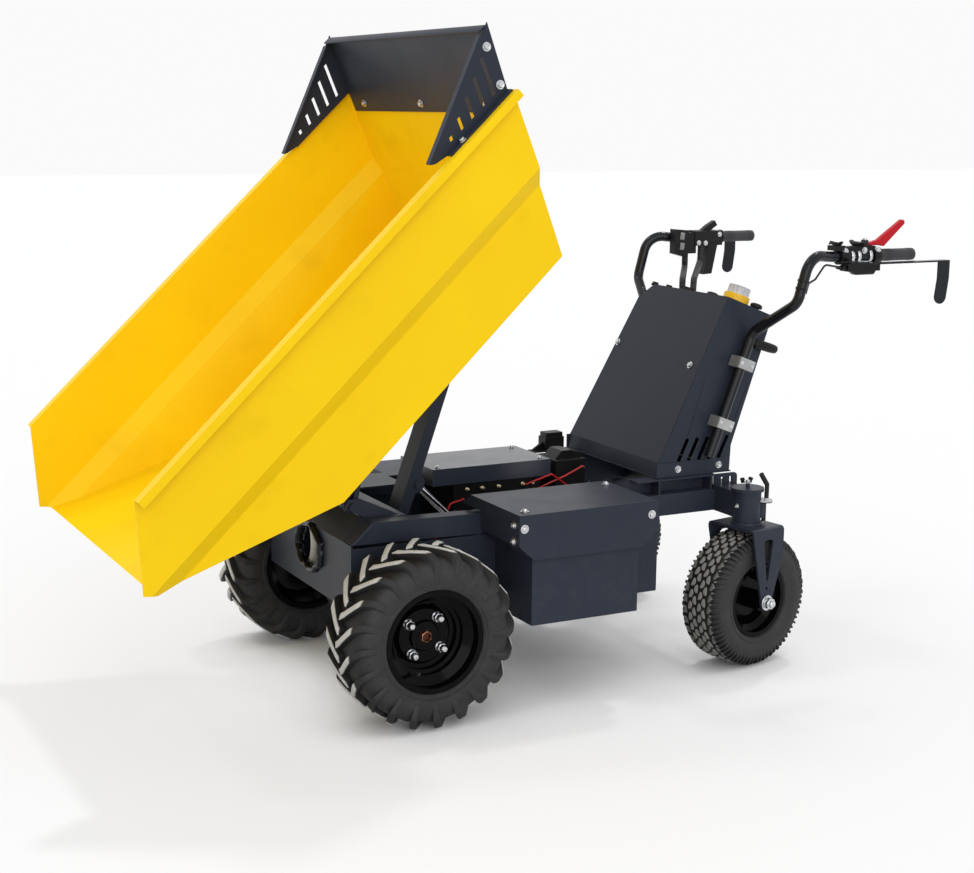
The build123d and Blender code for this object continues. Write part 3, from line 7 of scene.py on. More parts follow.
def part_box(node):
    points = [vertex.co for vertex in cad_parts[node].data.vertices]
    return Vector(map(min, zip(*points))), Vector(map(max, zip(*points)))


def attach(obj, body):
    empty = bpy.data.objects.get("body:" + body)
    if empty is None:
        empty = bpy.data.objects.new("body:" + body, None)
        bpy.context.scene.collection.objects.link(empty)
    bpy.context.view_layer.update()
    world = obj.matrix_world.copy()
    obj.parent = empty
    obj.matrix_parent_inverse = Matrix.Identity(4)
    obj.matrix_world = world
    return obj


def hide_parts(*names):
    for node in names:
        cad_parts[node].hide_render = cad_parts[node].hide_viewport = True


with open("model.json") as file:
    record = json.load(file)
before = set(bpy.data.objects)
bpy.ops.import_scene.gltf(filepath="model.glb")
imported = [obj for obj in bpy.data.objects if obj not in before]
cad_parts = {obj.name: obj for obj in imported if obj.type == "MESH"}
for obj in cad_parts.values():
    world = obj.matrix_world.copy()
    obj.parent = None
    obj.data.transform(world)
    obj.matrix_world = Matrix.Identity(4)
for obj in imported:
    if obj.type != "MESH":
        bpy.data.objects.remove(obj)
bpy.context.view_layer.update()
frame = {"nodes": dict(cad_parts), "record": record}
nodes = frame["nodes"]
scene = bpy.context.scene
print("frame loaded", len(nodes))


# a shader socket that can be used in arithmetic
class Sock:
    def __init__(self, tree, socket):
        self.tree = tree
        self.socket = socket

    def math(self, operation, *values):
        node = self.tree.nodes.new("ShaderNodeMath")
        node.operation = operation
        for index, value in enumerate(values):
            if isinstance(value, Sock):
                self.tree.links.new(value.socket, node.inputs[index])
            else:
                node.inputs[index].default_value = value
        return Sock(self.tree, node.outputs[0])

    def __add__(self, other):
        return self.math("ADD", self, other)

    def __radd__(self, other):
        return self.math("ADD", other, self)

    def __mul__(self, other):
        return self.math("MULTIPLY", self, other)

    def root(self):
        return self.math("SQRT", self)

    def wave(self):
        return self.math("SINE", self)

    def clip(self):
        return self.math("MINIMUM", self, 1.0)

    # smooth ramp from 0 at low to 1 at high
    def step(self, low, high):
        node = self.tree.nodes.new("ShaderNodeMapRange")
        node.interpolation_type = "SMOOTHSTEP"
        node.inputs["From Min"].default_value = low
        node.inputs["From Max"].default_value = high
        self.tree.links.new(self.socket, node.inputs["Value"])
        return Sock(self.tree, node.outputs["Result"])


# one material: its principled shader and the helpers that feed it
class Look:
    def __init__(self, name, baseColor, roughness, metallic=0.0, **extra):
        self.material = bpy.data.materials.new(name)
        self.material.use_nodes = True
        self.tree = self.material.node_tree
        self.shader = self.tree.nodes["Principled BSDF"]
        self.baseColor = baseColor
        self.color = None
        self.shader.inputs["Base Color"].default_value = (*baseColor, 1.0)
        self.shader.inputs["Roughness"].default_value = roughness
        self.shader.inputs["Metallic"].default_value = metallic
        for key, value in extra.items():
            self.shader.inputs[key.replace("_", " ")].default_value = value

    # any node: its type, its settings first, then values or links for its sockets
    def node(self, kind, inputs=None, output=0, **settings):
        made = self.tree.nodes.new(kind)
        for key, value in settings.items():
            setattr(made, key, value)
        for key, value in (inputs or {}).items():
            if isinstance(value, Sock):
                self.tree.links.new(value.socket, made.inputs[key])
            else:
                made.inputs[key].default_value = value
        return Sock(self.tree, made.outputs[output])

    def place(self, centre=(0, 0, 0), turn=0.0, scale=(1, 1, 1)):
        here = self.node("ShaderNodeTexCoord", output="Object")
        if centre == (0, 0, 0) and turn == 0.0 and scale == (1, 1, 1):
            return here
        moved = self.node("ShaderNodeVectorMath", {0: here, 1: centre}, operation="SUBTRACT")
        return self.node(
            "ShaderNodeMapping",
            {"Vector": moved, "Rotation": (0, 0, -turn), "Scale": scale},
        )

    def parts(self, vector):
        split = self.tree.nodes.new("ShaderNodeSeparateXYZ")
        self.tree.links.new(vector.socket, split.inputs[0])
        return [Sock(self.tree, out) for out in split.outputs]

    def noise(self, scale, detail=3.0, roughness=0.5, where=None):
        inputs = {"Scale": scale, "Detail": detail, "Roughness": roughness}
        inputs["Vector"] = where or self.place()
        return self.node("ShaderNodeTexNoise", inputs, output="Fac")

    def send(self, target, value):
        self.tree.links.new(value.socket, self.shader.inputs[target])

    # base colour, mixed by an amount between what is there so far and another colour
    def tone(self, amount, other):
        before = self.color or (*self.baseColor, 1.0)
        self.color = self.node(
            "ShaderNodeMix", {0: amount, 6: before, 7: (*other, 1.0)}, output=2, data_type="RGBA"
        )
        self.send("Base Color", self.color)

    def bump(self, height, strength, distance):
        inputs = {"Height": height, "Strength": strength, "Distance": distance}
        self.send("Normal", self.node("ShaderNodeBump", inputs))


def shade(color, factor):
    return tuple(min(1.0, part * factor) for part in color)


# sprayed or powder-coated steel: orange peel, uneven gloss, a little dust low down
def paint(name, color, roughness, peel=0.10, dust=0.0, **extra):
    look = Look(name, color, roughness, **extra)
    patches = look.noise(2.6, 3.0)
    look.tone(patches.step(0.35, 0.75), shade(color, 1.10))
    look.tone(look.noise(9.0, 4.0).step(0.55, 0.8) * 0.6, shade(color, 0.90))
    if dust:
        x, y, z = look.parts(look.place())
        film = z.step(0.62, 0.05) * look.noise(30.0, 5.0, 0.65).step(0.45, 0.75) * dust
        look.tone(film, (0.34, 0.33, 0.31))
    smears = look.noise(14.0, 4.0, 0.6)
    look.send("Roughness", smears * 0.16 + patches * 0.06 + (roughness - 0.11))
    grain = look.noise(520.0, 1.0) + look.noise(55.0, 2.0) * 0.8
    look.bump(grain, peel, 0.0006)
    return look


# moulded plastic or rubber: fine pebbled skin
def moulded(name, color, roughness, pebble=260.0, depth=0.25, **extra):
    look = Look(name, color, roughness, **extra)
    look.tone(look.noise(16.0, 4.0).step(0.4, 0.75), shade(color, 1.5))
    look.send("Roughness", look.noise(40.0, 3.0) * 0.18 + (roughness - 0.09))
    look.bump(look.noise(pebble, 2.0), depth, 0.0008)
    return look


# bare or plated metal: brushed streaks and small stains
def metal(name, color, roughness, streak=(30.0, 30.0, 400.0), **extra):
    look = Look(name, color, roughness, metallic=1.0, **extra)
    look.tone(look.noise(90.0, 4.0).step(0.45, 0.8), shade(color, 0.62))
    lines = look.noise(1.0, 3.0, 0.5, look.place(scale=streak))
    look.send("Roughness", lines * 0.22 + (roughness - 0.08))
    look.bump(lines, 0.12, 0.0004)
    return look


# tyre rubber: dark skin, pale dust and a painted sheen on what stands above the tread, painted shade on the
# tread and shoulder, rings on the wall
tyreSkin = {
    "base": (0.0135, 0.0135, 0.0150), "blotch": (0.028, 0.028, 0.030), "shoulder": (0.0075, 0.0075, 0.0080),
}


def rubber(name, centre, turn, treadRadius, dustSheenColor, wall):
    look = Look(name, tyreSkin["base"], 0.62, Specular_IOR_Level=0.45)
    x, y, z = look.parts(look.place(centre, turn))
    reach = (x * x + z * z).root()
    low, high = wall
    ribs = (reach * 1900.0).wave() * reach.step(low, low + 0.004) * reach.step(low + 0.020, low + 0.016)
    blotch = look.noise(34.0, 5.0, 0.65)
    look.tone(blotch.step(0.35, 0.75), tyreSkin["blotch"])
    # painted shade: the tread and shoulder darker, as if in the shade between the lugs
    look.tone(reach.step(high + 0.004, high + 0.024) * 0.9, tyreSkin["shoulder"])
    # lug and block tops: pale dust, and a painted sheen that stands in for their reflection
    top = reach.step(treadRadius - 0.0042, treadRadius - 0.0014)
    dustAndSheen = top * (0.62 + look.noise(120.0, 5.0, 0.7) * 0.62)
    look.tone(dustAndSheen, dustSheenColor)
    look.send("Roughness", blotch * 0.2 + 0.52)
    look.bump(look.noise(420.0, 3.0) * 0.7 + ribs * 0.5 + look.noise(60.0, 2.0) * 0.8, 0.35, 0.0010)
    return look


lowCorner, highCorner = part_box("drive_rim_left")
axleX = (lowCorner[0] + highCorner[0]) / 2
axleZ = 0.203
lowCorner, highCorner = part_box("caster_rim_left")
casterX = (lowCorner[0] + highCorner[0]) / 2
casterY = (lowCorner[1] + highCorner[1]) / 2
casterZ = (lowCorner[2] + highCorner[2]) / 2
driveCentre = (axleX, 0.0, axleZ)
casterTurn = math.radians(10.9)

darkPaint = (0.0235, 0.0290, 0.0435)
looks = {
    "bed_yellow": paint("bedYellow", (0.95, 0.615, 0.003), 0.40, 0.07, Specular_IOR_Level=0.15),
    "frame_dark": paint("frameDark", darkPaint, 0.38, 0.14, 0.035, Specular_IOR_Level=0.16),
    "rim_black": paint("rimBlack", (0.0022, 0.0022, 0.0026), 0.13, 0.05, 0.0, Specular_IOR_Level=0.08),
    "tyre_rubber": rubber("driveRubber", driveCentre, 0.0, axleZ, (0.66, 0.655, 0.64), (0.122, 0.165)),
    "chrome_rod": metal("chromeRod", (0.62, 0.63, 0.66), 0.16, (300.0, 300.0, 300.0)),
    "grip_rubber": moulded("gripRubber", (0.024, 0.024, 0.027), 0.60, 420.0, 0.4),
    "tube_black": paint("tubeBlack", (0.0055, 0.0065, 0.0100), 0.17, 0.05, Specular_IOR_Level=0.26),
    "housing_black": moulded("housingBlack", (0.0050, 0.0050, 0.0058), 0.40, Specular_IOR_Level=0.22),
    "lever_red": paint("leverRed", (0.50, 0.004, 0.012), 0.30, 0.05, Specular_IOR_Level=0.22),
    "beacon_yellow": moulded("beaconYellow", (0.90, 0.50, 0.004), 0.40, 200.0, 0.1),
    "beacon_clear": moulded("beaconClear", (0.50, 0.51, 0.545), 0.16, 90.0, 0.1, Coat_Weight=0.6),
    "clamp_grey": moulded("clampGrey", (0.155, 0.16, 0.16), 0.50, 300.0, 0.3),
    "hose_black": moulded("hoseBlack", (0.0125, 0.013, 0.0135), 0.46, Specular_IOR_Level=0.35),
    "motor_black": moulded("motorBlack", (0.0060, 0.0060, 0.0068), 0.44, 200.0, 0.3, Specular_IOR_Level=0.25),
    "wire_red": moulded("wireRed", (0.42, 0.010, 0.012), 0.38, 200.0, 0.15),
}
zinc = metal("zincPlate", (0.63, 0.64, 0.66), 0.26)

# hub nut: copper, with painted shade darkening its hollow
copperNut = {"color": (0.52, 0.190, 0.115), "hollow": (0.0112, 0.0098), "hollowShade": (0.075, 0.030, 0.020)}
copper = metal("copperNut", copperNut["color"], 0.36)
x, y, z = copper.parts(copper.place(driveCentre))
copper.tone((x * x + z * z).root().step(*copperNut["hollow"]), copperNut["hollowShade"])
casterRubber = {}
for side, sign in (("left", 1), ("right", -1)):
    casterRubber[side] = rubber(
        "casterRubber" + side.title(), (casterX, sign * casterY, casterZ), casterTurn, 0.166,
        (0.270, 0.262, 0.242), (0.098, 0.142),
    )

# corrugated hose: rings from a slanted mix of x, y and z, close to following its run
hose = looks["hose_black"]
x, y, z = hose.parts(hose.place())
rings = ((x * 0.62 + y * 0.75 + z * 0.9) * 900.0).wave()
hose.bump(rings * 0.5 + hose.noise(200.0, 2.0) * 0.3, 0.6, 0.0016)

# lock levers: black handle and pin with one pale plastic ring
lockLever = moulded("lockLever", (0.006, 0.006, 0.007), 0.42, Specular_IOR_Level=0.3)
leverRing = {"below": 0.0765, "rise": (0.0030, 0.0040), "fall": (0.0125, 0.0110), "color": (0.55, 0.55, 0.56)}
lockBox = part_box("lock_levers")
x, y, z = lockLever.parts(lockLever.place())
ringLow = lockBox[1][2] - leverRing["below"]
ringStart = z.step(*[ringLow + height for height in leverRing["rise"]])
ringEnd = z.step(*[ringLow + height for height in leverRing["fall"]])
lockLever.tone(ringStart * ringEnd, leverRing["color"])

# the controller's lid is glossier than the frame
lidPaint = paint("lidPaint", darkPaint, 0.24, 0.08, Specular_IOR_Level=0.62)
ownLooks = {"lock_levers": lockLever, "bed_subframe": looks["frame_dark"], "controller_lid": lidPaint}

for part in frame["record"]["subparts"]:
    node = nodes[part["node"]]
    look = ownLooks.get(part["node"], looks[part["material_slot"]])
    node.data.materials.clear()
    node.data.materials.append(look.material)

# soft edges on the folded and welded steel
sheetEdges = {
    "bed_shell": 0.0022, "bed_subframe": 0.0025, "head_guard": 0.0016, "guard_wings": 0.0014,
    "nose_frame": 0.0018, "side_rails": 0.0045, "side_panels": 0.0014, "floor_pan": 0.0014,
    "battery_boxes": 0.0016, "battery_covers": 0.0016, "controller_lid": 0.0030,
    "controller_block": 0.0020, "rest_pads": 0.0030, "rear_frame": 0.0022, "console_shelf": 0.0012,
    "console_sides": 0.0014, "console_front": 0.0014, "console_back": 0.0014, "lift_arm": 0.0020,
    "guard_bars": 0.0012, "park_lever": 0.0025, "tube_clamps": 0.0020, "lever_clamps": 0.0018,
    "switch_boxes": 0.0024, "charger_unit": 0.0020, "caster_fork_left": 0.0022,
    "caster_fork_right": 0.0022,
}
softEdge = {"weld": 0.00002, "segments": 2, "angle": 32}
for name, width in sheetEdges.items():
    node = nodes[name]
    weld = node.modifiers.new("weld", "WELD")
    weld.merge_threshold = softEdge["weld"]
    edge = node.modifiers.new("softEdge", "BEVEL")
    edge.width = width
    edge.segments = softEdge["segments"]
    edge.limit_method = "ANGLE"
    edge.angle_limit = math.radians(softEdge["angle"])
    edge.use_clamp_overlap = True
    edge.harden_normals = True
print("looks and edges set")


# shop helpers: pieces are shaped lying on the origin with their axis up, then set in place
def deselectAll():
    if bpy.context.object and bpy.context.object.mode != "OBJECT":
        bpy.ops.object.mode_set(mode="OBJECT")
    bpy.ops.object.select_all(action="DESELECT")


def takeUp(obj):
    deselectAll()
    obj.select_set(True)
    bpy.context.view_layer.objects.active = obj


def applyPlace(obj):
    takeUp(obj)
    bpy.ops.object.transform_apply(location=True, rotation=True, scale=True)


def pickFaces(obj, test):
    takeUp(obj)
    bpy.context.tool_settings.mesh_select_mode = (False, False, True)
    for items in (obj.data.vertices, obj.data.edges):
        for item in items:
            item.select = False
    for face in obj.data.polygons:
        face.select = test(face.center, face.normal)
    bpy.ops.object.mode_set(mode="EDIT")


def pickTop(obj):
    pickFaces(obj, lambda centre, normal: normal.z > 0.9)


def inset(thickness, depth):
    bpy.ops.mesh.inset(thickness=thickness, depth=depth)


def extrude(move):
    bpy.ops.mesh.extrude_region_move(TRANSFORM_OT_translate={"value": move})


def leaveEdit():
    bpy.ops.object.mode_set(mode="OBJECT")


def drum(radius, base, height, sides=32):
    deselectAll()
    bpy.ops.mesh.primitive_cylinder_add(
        vertices=sides, radius=radius, depth=height, location=(0, 0, base + height / 2)
    )
    obj = bpy.context.object
    applyPlace(obj)
    return obj


def slab(size, centre=(0, 0, 0)):
    deselectAll()
    bpy.ops.mesh.primitive_cube_add(size=1.0, location=centre)
    obj = bpy.context.object
    obj.scale = size
    applyPlace(obj)
    return obj


def roundEdges(obj, width, segments=2, angle=30.0):
    takeUp(obj)
    edge = obj.modifiers.new("round", "BEVEL")
    edge.width = width
    edge.segments = segments
    edge.limit_method = "ANGLE"
    edge.angle_limit = math.radians(angle)
    bpy.ops.object.modifier_apply(modifier=edge.name)
    return obj


# an outline of (radius, height) points, extruded one after another and spun round the upright axis
def turned(outline, steps=64):
    deselectAll()
    bpy.ops.mesh.primitive_plane_add(size=0.02, location=(0, 0, 0))
    obj = bpy.context.object
    bpy.context.tool_settings.mesh_select_mode = (True, False, False)
    bpy.ops.object.mode_set(mode="EDIT")
    bpy.ops.mesh.select_all(action="SELECT")
    bpy.ops.mesh.merge(type="CENTER")
    last = outline[0]
    bpy.ops.transform.translate(value=(last[0], 0, last[1]))
    for point in list(outline[1:]) + [outline[0]]:
        move = (point[0] - last[0], 0, point[1] - last[1])
        extrude(move)
        last = point
    bpy.ops.mesh.select_all(action="SELECT")
    bpy.ops.mesh.spin(steps=steps, angle=2 * math.pi, center=(0, 0, 0), axis=(0, 0, 1))
    bpy.ops.mesh.select_all(action="SELECT")
    bpy.ops.mesh.remove_doubles(threshold=0.00002)
    bpy.ops.mesh.normals_make_consistent(inside=False)
    leaveEdit()
    return obj


def mend(obj):
    takeUp(obj)
    bpy.ops.object.mode_set(mode="EDIT")
    bpy.ops.mesh.select_all(action="SELECT")
    bpy.ops.mesh.remove_doubles(threshold=0.00001)
    bpy.ops.mesh.normals_make_consistent(inside=False)
    leaveEdit()
    return obj


def join(pieces):
    deselectAll()
    for piece in pieces:
        piece.select_set(True)
    bpy.context.view_layer.objects.active = pieces[0]
    if len(pieces) > 1:
        bpy.ops.object.join()
    return bpy.context.view_layer.objects.active


def aim(place, direction, turn=0.0):
    facing = Vector(direction).to_track_quat("Z", "Y").to_matrix().to_4x4()
    return Matrix.Translation(place) @ facing @ Matrix.Rotation(math.radians(turn), 4, "Z")


# copies of a finished master, each with its own mesh, joined to one piece
def setOut(master, places, keep=False):
    made = []
    for matrix in places:
        copy = master.copy()
        copy.data = master.data.copy()
        copy.data.transform(matrix)
        scene.collection.objects.link(copy)
        made.append(copy)
    if not keep:
        bpy.data.objects.remove(master)
    return join(made)


def finishPiece(obj, name, look, body, angle=35.0):
    takeUp(obj)
    obj.name = name
    obj.data.name = name
    obj.data.materials.clear()
    obj.data.materials.append(look.material)
    bpy.ops.object.shade_smooth_by_angle(angle=math.radians(angle))
    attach(obj, body)
    return obj


toAxle = Matrix.Rotation(math.radians(-90), 4, "X")
driveHalf = abs(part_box("drive_rim_left")[0][1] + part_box("drive_rim_left")[1][1]) / 2
wheelPlace = {
    "left": Matrix.Translation((axleX, driveHalf, axleZ)),
    "right": Matrix.Translation((axleX, -driveHalf, axleZ)) @ Matrix.Rotation(math.pi, 4, "Z"),
}
casterPlace = {
    side: Matrix.Translation((casterX, sign * casterY, casterZ)) @ Matrix.Rotation(casterTurn, 4, "Z")
    for side, sign in (("left", 1), ("right", -1))
}


def mirrored(obj):
    copy = obj.copy()
    copy.data = obj.data.copy()
    copy.data.transform(Matrix.Scale(-1, 4, (0, 0, 1)))
    scene.collection.objects.link(copy)
    return mend(copy)


def ring(count, offset=0.0):
    return [Matrix.Rotation(2 * math.pi * (index + offset) / count, 4, "Z") for index in range(count)]


# a tyre's closed outline, from the outer and inner walls of one half
def carcassOutline(crown, wall, inside):
    outer = wall + [(crown, 0.0)] + [(radius, -along) for radius, along in reversed(wall)]
    return outer + [(radius, -along) for radius, along in reversed(inside)] + inside[1:]


# drive tyres: plain carcass with a rib at the bead, and slanted lugs that wrap over the shoulder
driveTyre = {
    "crown": 0.1862, "steps": 96,
    "wall": [
        (0.1105, 0.0600), (0.1165, 0.0690), (0.1172, 0.0745), (0.1205, 0.0785), (0.1250, 0.0790),
        (0.1262, 0.0806), (0.1290, 0.0806), (0.1304, 0.0795), (0.1400, 0.0806), (0.1520, 0.0800),
        (0.1640, 0.0772), (0.1740, 0.0720), (0.1810, 0.0640), (0.1850, 0.0500), (0.1862, 0.0250),
    ],
    "inside": [(0.1740, 0.0), (0.1700, 0.0500), (0.1500, 0.0700), (0.1200, 0.0620)],
}
carcass = turned(carcassOutline(driveTyre["crown"], driveTyre["wall"], driveTyre["inside"]), driveTyre["steps"])

# a pair is where along the axle a change starts, and how strong it is
driveLug = {
    "count": 20, "top": 0.203, "root": 0.178, "middle": 0.188, "deep": 0.030, "thick": 0.0180,
    "start": -0.005, "end": 0.0815, "slant": 38.0, "pitchRadius": 0.196,
    "stations": (0.012, 0.028, 0.044, 0.056, 0.064, 0.071, 0.077),
    "topDrop": (0.054, 34.0), "rootDrop": (0.062, 2.0), "flare": (0.03, 2.2),
}


def lugTop(along):
    begin, strength = driveLug["topDrop"]
    drop = max(0.0, along - begin)
    return driveLug["top"] - strength * drop * drop


def lugMaster():
    length = driveLug["end"] - driveLug["start"]
    size = (driveLug["deep"], driveLug["thick"], length)
    lug = slab(size, (driveLug["middle"], 0, driveLug["start"] + length / 2))
    pickFaces(lug, lambda centre, normal: normal.x > 0.9)
    bpy.ops.transform.resize(value=(1, 0.84, 0.985))
    for along in driveLug["stations"]:
        bpy.ops.mesh.select_all(action="SELECT")
        bpy.ops.mesh.bisect(plane_co=(0, 0, along), plane_no=(0, 0, 1))
    leaveEdit()
    slant = math.tan(math.radians(driveLug["slant"]))
    flareStart, flare = driveLug["flare"]
    rootStart, rootDrop = driveLug["rootDrop"]
    for vertex in lug.data.vertices:
        radial, side, along = vertex.co
        widen = 1.0 + flare * max(0.0, along - flareStart)
        if radial > driveLug["middle"]:
            reach = lugTop(along)
        else:
            reach = driveLug["root"] - rootDrop * max(0.0, along - rootStart)
        angle = (side * widen - slant * max(along, 0.0)) / driveLug["pitchRadius"]
        vertex.co = (reach * math.cos(angle), reach * math.sin(angle), along)
    return roundEdges(lug, 0.0016, 2, 28.0)


nearLug = lugMaster()
farLug = mirrored(nearLug)
tread = join([carcass, setOut(nearLug, ring(driveLug["count"])), setOut(farLug, ring(driveLug["count"], 0.5))])
for side in ("left", "right"):
    tyre = setOut(tread, [wheelPlace[side] @ toAxle], keep=True)
    body = "drive_wheel_" + side
    finishPiece(tyre, "driveTyre" + side.title(), looks["tyre_rubber"], body, 32)
    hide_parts("drive_tyre_" + side)
bpy.data.objects.remove(tread)
print("drive tyres done")

# rear tyres: six rows of bean-shaped turf blocks, thin ribs over the shoulder
rearTyre = {
    "crown": 0.1598, "steps": 84, "pitches": 36,
    "wall": [
        (0.0850, 0.0400), (0.0912, 0.0450), (0.0920, 0.0508), (0.0950, 0.0545), (0.1000, 0.0560),
        (0.1015, 0.0576), (0.1040, 0.0576), (0.1052, 0.0568), (0.1150, 0.0602), (0.1280, 0.0612),
        (0.1400, 0.0592), (0.1500, 0.0545), (0.1560, 0.0470), (0.1590, 0.0350), (0.1598, 0.0180),
    ],
    "inside": [(0.1500, 0.0), (0.1460, 0.0380), (0.1280, 0.0520), (0.1000, 0.0450)],
}
carcass = turned(carcassOutline(rearTyre["crown"], rearTyre["wall"], rearTyre["inside"]), rearTyre["steps"])
turf = {
    "rows": (0.0075, 0.0225, 0.0375), "top": 0.166, "root": 0.154, "radius": 0.162, "sides": 10,
    "across": 0.0118, "along": 0.0064, "bend": 0.0034, "lean": (0.30, 0.22), "crownDrop": (0.02, 1.1),
}


def turfBlock(row, lean):
    block = drum(1.0, 0.0, 1.0, turf["sides"])
    pickTop(block)
    bpy.ops.transform.resize(value=(0.86, 0.80, 1))
    leaveEdit()
    begin, strength = turf["crownDrop"]
    crown = turf["top"] - strength * max(0.0, row - begin) ** 1.5
    back, forth = turf["lean"]
    for vertex in block.data.vertices:
        across, along, height = vertex.co
        side = turf["across"] * across
        axial = turf["along"] * along + turf["bend"] * (across * across - 0.5) * lean
        side, axial = side - back * lean * axial, axial + forth * lean * side
        reach = crown if height > 0.5 else turf["root"]
        angle = side / turf["radius"]
        vertex.co = (reach * math.cos(angle), reach * math.sin(angle), row + axial)
    return mend(roundEdges(block, 0.0008, 1, 40.0))


shoulder = {
    "size": (0.010, 0.0052, 0.020), "middle": 0.158, "along": 0.050, "stations": (0.046, 0.053), "bend": 0.043,
    "top": (0.1640, 58.0), "short": 0.75, "root": (0.1500, 0.9), "slant": 0.25, "radius": 0.16,
}


def shoulderRib(far):
    rib = slab(shoulder["size"], (shoulder["middle"], 0, shoulder["along"]))
    bpy.context.tool_settings.mesh_select_mode = (False, False, True)
    bpy.ops.object.mode_set(mode="EDIT")
    for along in shoulder["stations"]:
        bpy.ops.mesh.select_all(action="SELECT")
        bpy.ops.mesh.bisect(plane_co=(0, 0, along), plane_no=(0, 0, 1))
    leaveEdit()
    for vertex in rib.data.vertices:
        radial, side, along = vertex.co
        drop = max(0.0, along - shoulder["bend"])
        if radial > shoulder["middle"]:
            top, strength = shoulder["top"]
            reach = top - strength * drop * drop * (1.0 if far else shoulder["short"])
        else:
            root, strength = shoulder["root"]
            reach = root - strength * drop
        angle = (side - shoulder["slant"] * drop) / shoulder["radius"]
        vertex.co = (reach * math.cos(angle), reach * math.sin(angle), along)
    return roundEdges(rib, 0.0007, 1, 40.0)


pieces = [carcass]
for index, row in enumerate(turf["rows"]):
    lean = 1.0 if index % 2 else -1.0
    block = turfBlock(row, lean)
    other = mirrored(block)
    pieces.append(setOut(block, ring(rearTyre["pitches"], 0.5 * (index % 2))))
    pieces.append(setOut(other, ring(rearTyre["pitches"], 0.5 * (index % 2) + 0.5)))
rib = shoulderRib(False)
longRib = shoulderRib(True)
for master, offset in ((rib, 0.0), (longRib, 0.5)):
    other = mirrored(master)
    pieces.append(setOut(master, ring(rearTyre["pitches"], offset)))
    pieces.append(setOut(other, ring(rearTyre["pitches"], offset + 0.25)))
tread = join(pieces)
for side in ("left", "right"):
    tyre = setOut(tread, [casterPlace[side] @ toAxle], keep=True)
    body = "caster_wheel_" + side
    finishPiece(tyre, "rearTyre" + side.title(), casterRubber[side], body, 32)
    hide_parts("caster_tyre_" + side)
bpy.data.objects.remove(tread)
print("rear tyres done")


# hex screw: washer, flange and head with a dished top
def hexScrew(size):
    washer = roundEdges(drum(size * 1.75, 0.0, size * 0.32, 28), size * 0.08, 1)
    pickTop(washer)
    inset(size * 0.3, -size * 0.05)
    leaveEdit()
    head = drum(size * 1.12, size * 0.32, size * 0.85, 6)
    pickTop(head)
    inset(size * 0.12, size * 0.10)
    inset(size * 0.18, -size * 0.12)
    leaveEdit()
    roundEdges(head, size * 0.05, 1)
    return join([washer, head])


# pan head screw with a hex socket
def panScrew(size):
    washer = roundEdges(drum(size * 1.95, 0.0, size * 0.30, 28), size * 0.08, 1)
    head = drum(size * 1.25, size * 0.30, size * 0.65, 24)
    pickTop(head)
    inset(size * 0.35, size * 0.22)
    inset(size * 0.45, 0.0)
    extrude((0, 0, -size * 0.45))
    leaveEdit()
    roundEdges(head, size * 0.06, 1, 40)
    return join([washer, head])


# screws on the battery covers: skirts, tops and front edges
coverScrew = {
    "size": 0.0052,
    "skirts": (
        (0.1517, 1, 0.4332, 0), (-0.1811, 1, 0.4331, 20), (0.1517, -1, 0.3900, 0), (-0.1811, -1, 0.3900, 20),
    ),
    "tops": ((0.1341, 0.4036, 0.4640, 10), (-0.1794, 0.2368, 0.4640, 40)),
    "fronts": ((0.1641, 0.4100, 0.4366, 0), (0.1641, 0.4083, 0.4000, 15)),
}
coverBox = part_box("battery_covers")
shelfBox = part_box("console_shelf")
skirt = coverBox[1][1]
screwPlaces = [aim((x, sign * skirt, z), (0, sign, 0), turn) for x, sign, z, turn in coverScrew["skirts"]]
screwPlaces += [aim((x, y, z), (0, 0, 1), turn) for x, y, z, turn in coverScrew["tops"]]
screwPlaces += [aim((x, y, z), (1, 0, 0), turn) for x, y, z, turn in coverScrew["fronts"]]
chassisScrews = setOut(panScrew(coverScrew["size"]), screwPlaces)
finishPiece(chassisScrews, "coverScrews", zinc, "chassis")

# screws on the console: two on its sloped front, two on each upstand
consoleScrew = {
    "size": 0.0052, "slope": (0.903, 0.0, 0.430),
    "front": ((-0.4604, -0.1704, 0.7408, 12), (-0.4536, 0.1743, 0.7266, 0)),
    "upstands": ((-0.3974, 0.4779, 8), (-0.5184, 0.4791, 25)),
}
upstand = shelfBox[1][1]
screwPlaces = [aim((x, y, z), consoleScrew["slope"], turn) for x, y, z, turn in consoleScrew["front"]]
for sign in (1, -1):
    for x, z, turn in consoleScrew["upstands"]:
        screwPlaces.append(aim((x, sign * upstand, z), (0, sign, 0), turn))
consoleScrews = setOut(hexScrew(consoleScrew["size"]), screwPlaces)
finishPiece(consoleScrews, "consoleScrews", zinc, "chassis")

# screws on the bed: head guard to the bed's rear wall, wings to head guard, feet to the rim
guardScrew = {
    "size": 0.0056, "rowX": 0.1908, "rowZ": 1.3522, "row": (-0.3437, -0.0170, 0.3097),
    "rowWay": (0.921, 0.0, -0.390), "rowTurn": 10,
    "outer": 0.4230, "wings": ((0.2521, 1.4667, 5), (0.2191, 1.3903, 25)),
    "foot": (0.3117, 0.4361, 1.2760), "footWay": (0.694, 0, 0.720), "footTurn": 15,
}
screwPlaces = [
    aim((guardScrew["rowX"], y, guardScrew["rowZ"]), guardScrew["rowWay"], guardScrew["rowTurn"])
    for y in guardScrew["row"]
]
for sign in (1, -1):
    for x, z, turn in guardScrew["wings"]:
        screwPlaces.append(aim((x, sign * guardScrew["outer"], z), (0, sign, 0), turn))
    x, y, z = guardScrew["foot"]
    screwPlaces.append(aim((x, sign * y, z), guardScrew["footWay"], guardScrew["footTurn"]))
bedScrews = setOut(hexScrew(guardScrew["size"]), screwPlaces)
finishPiece(bedScrews, "guardScrews", zinc, "bed")
print("screws done")

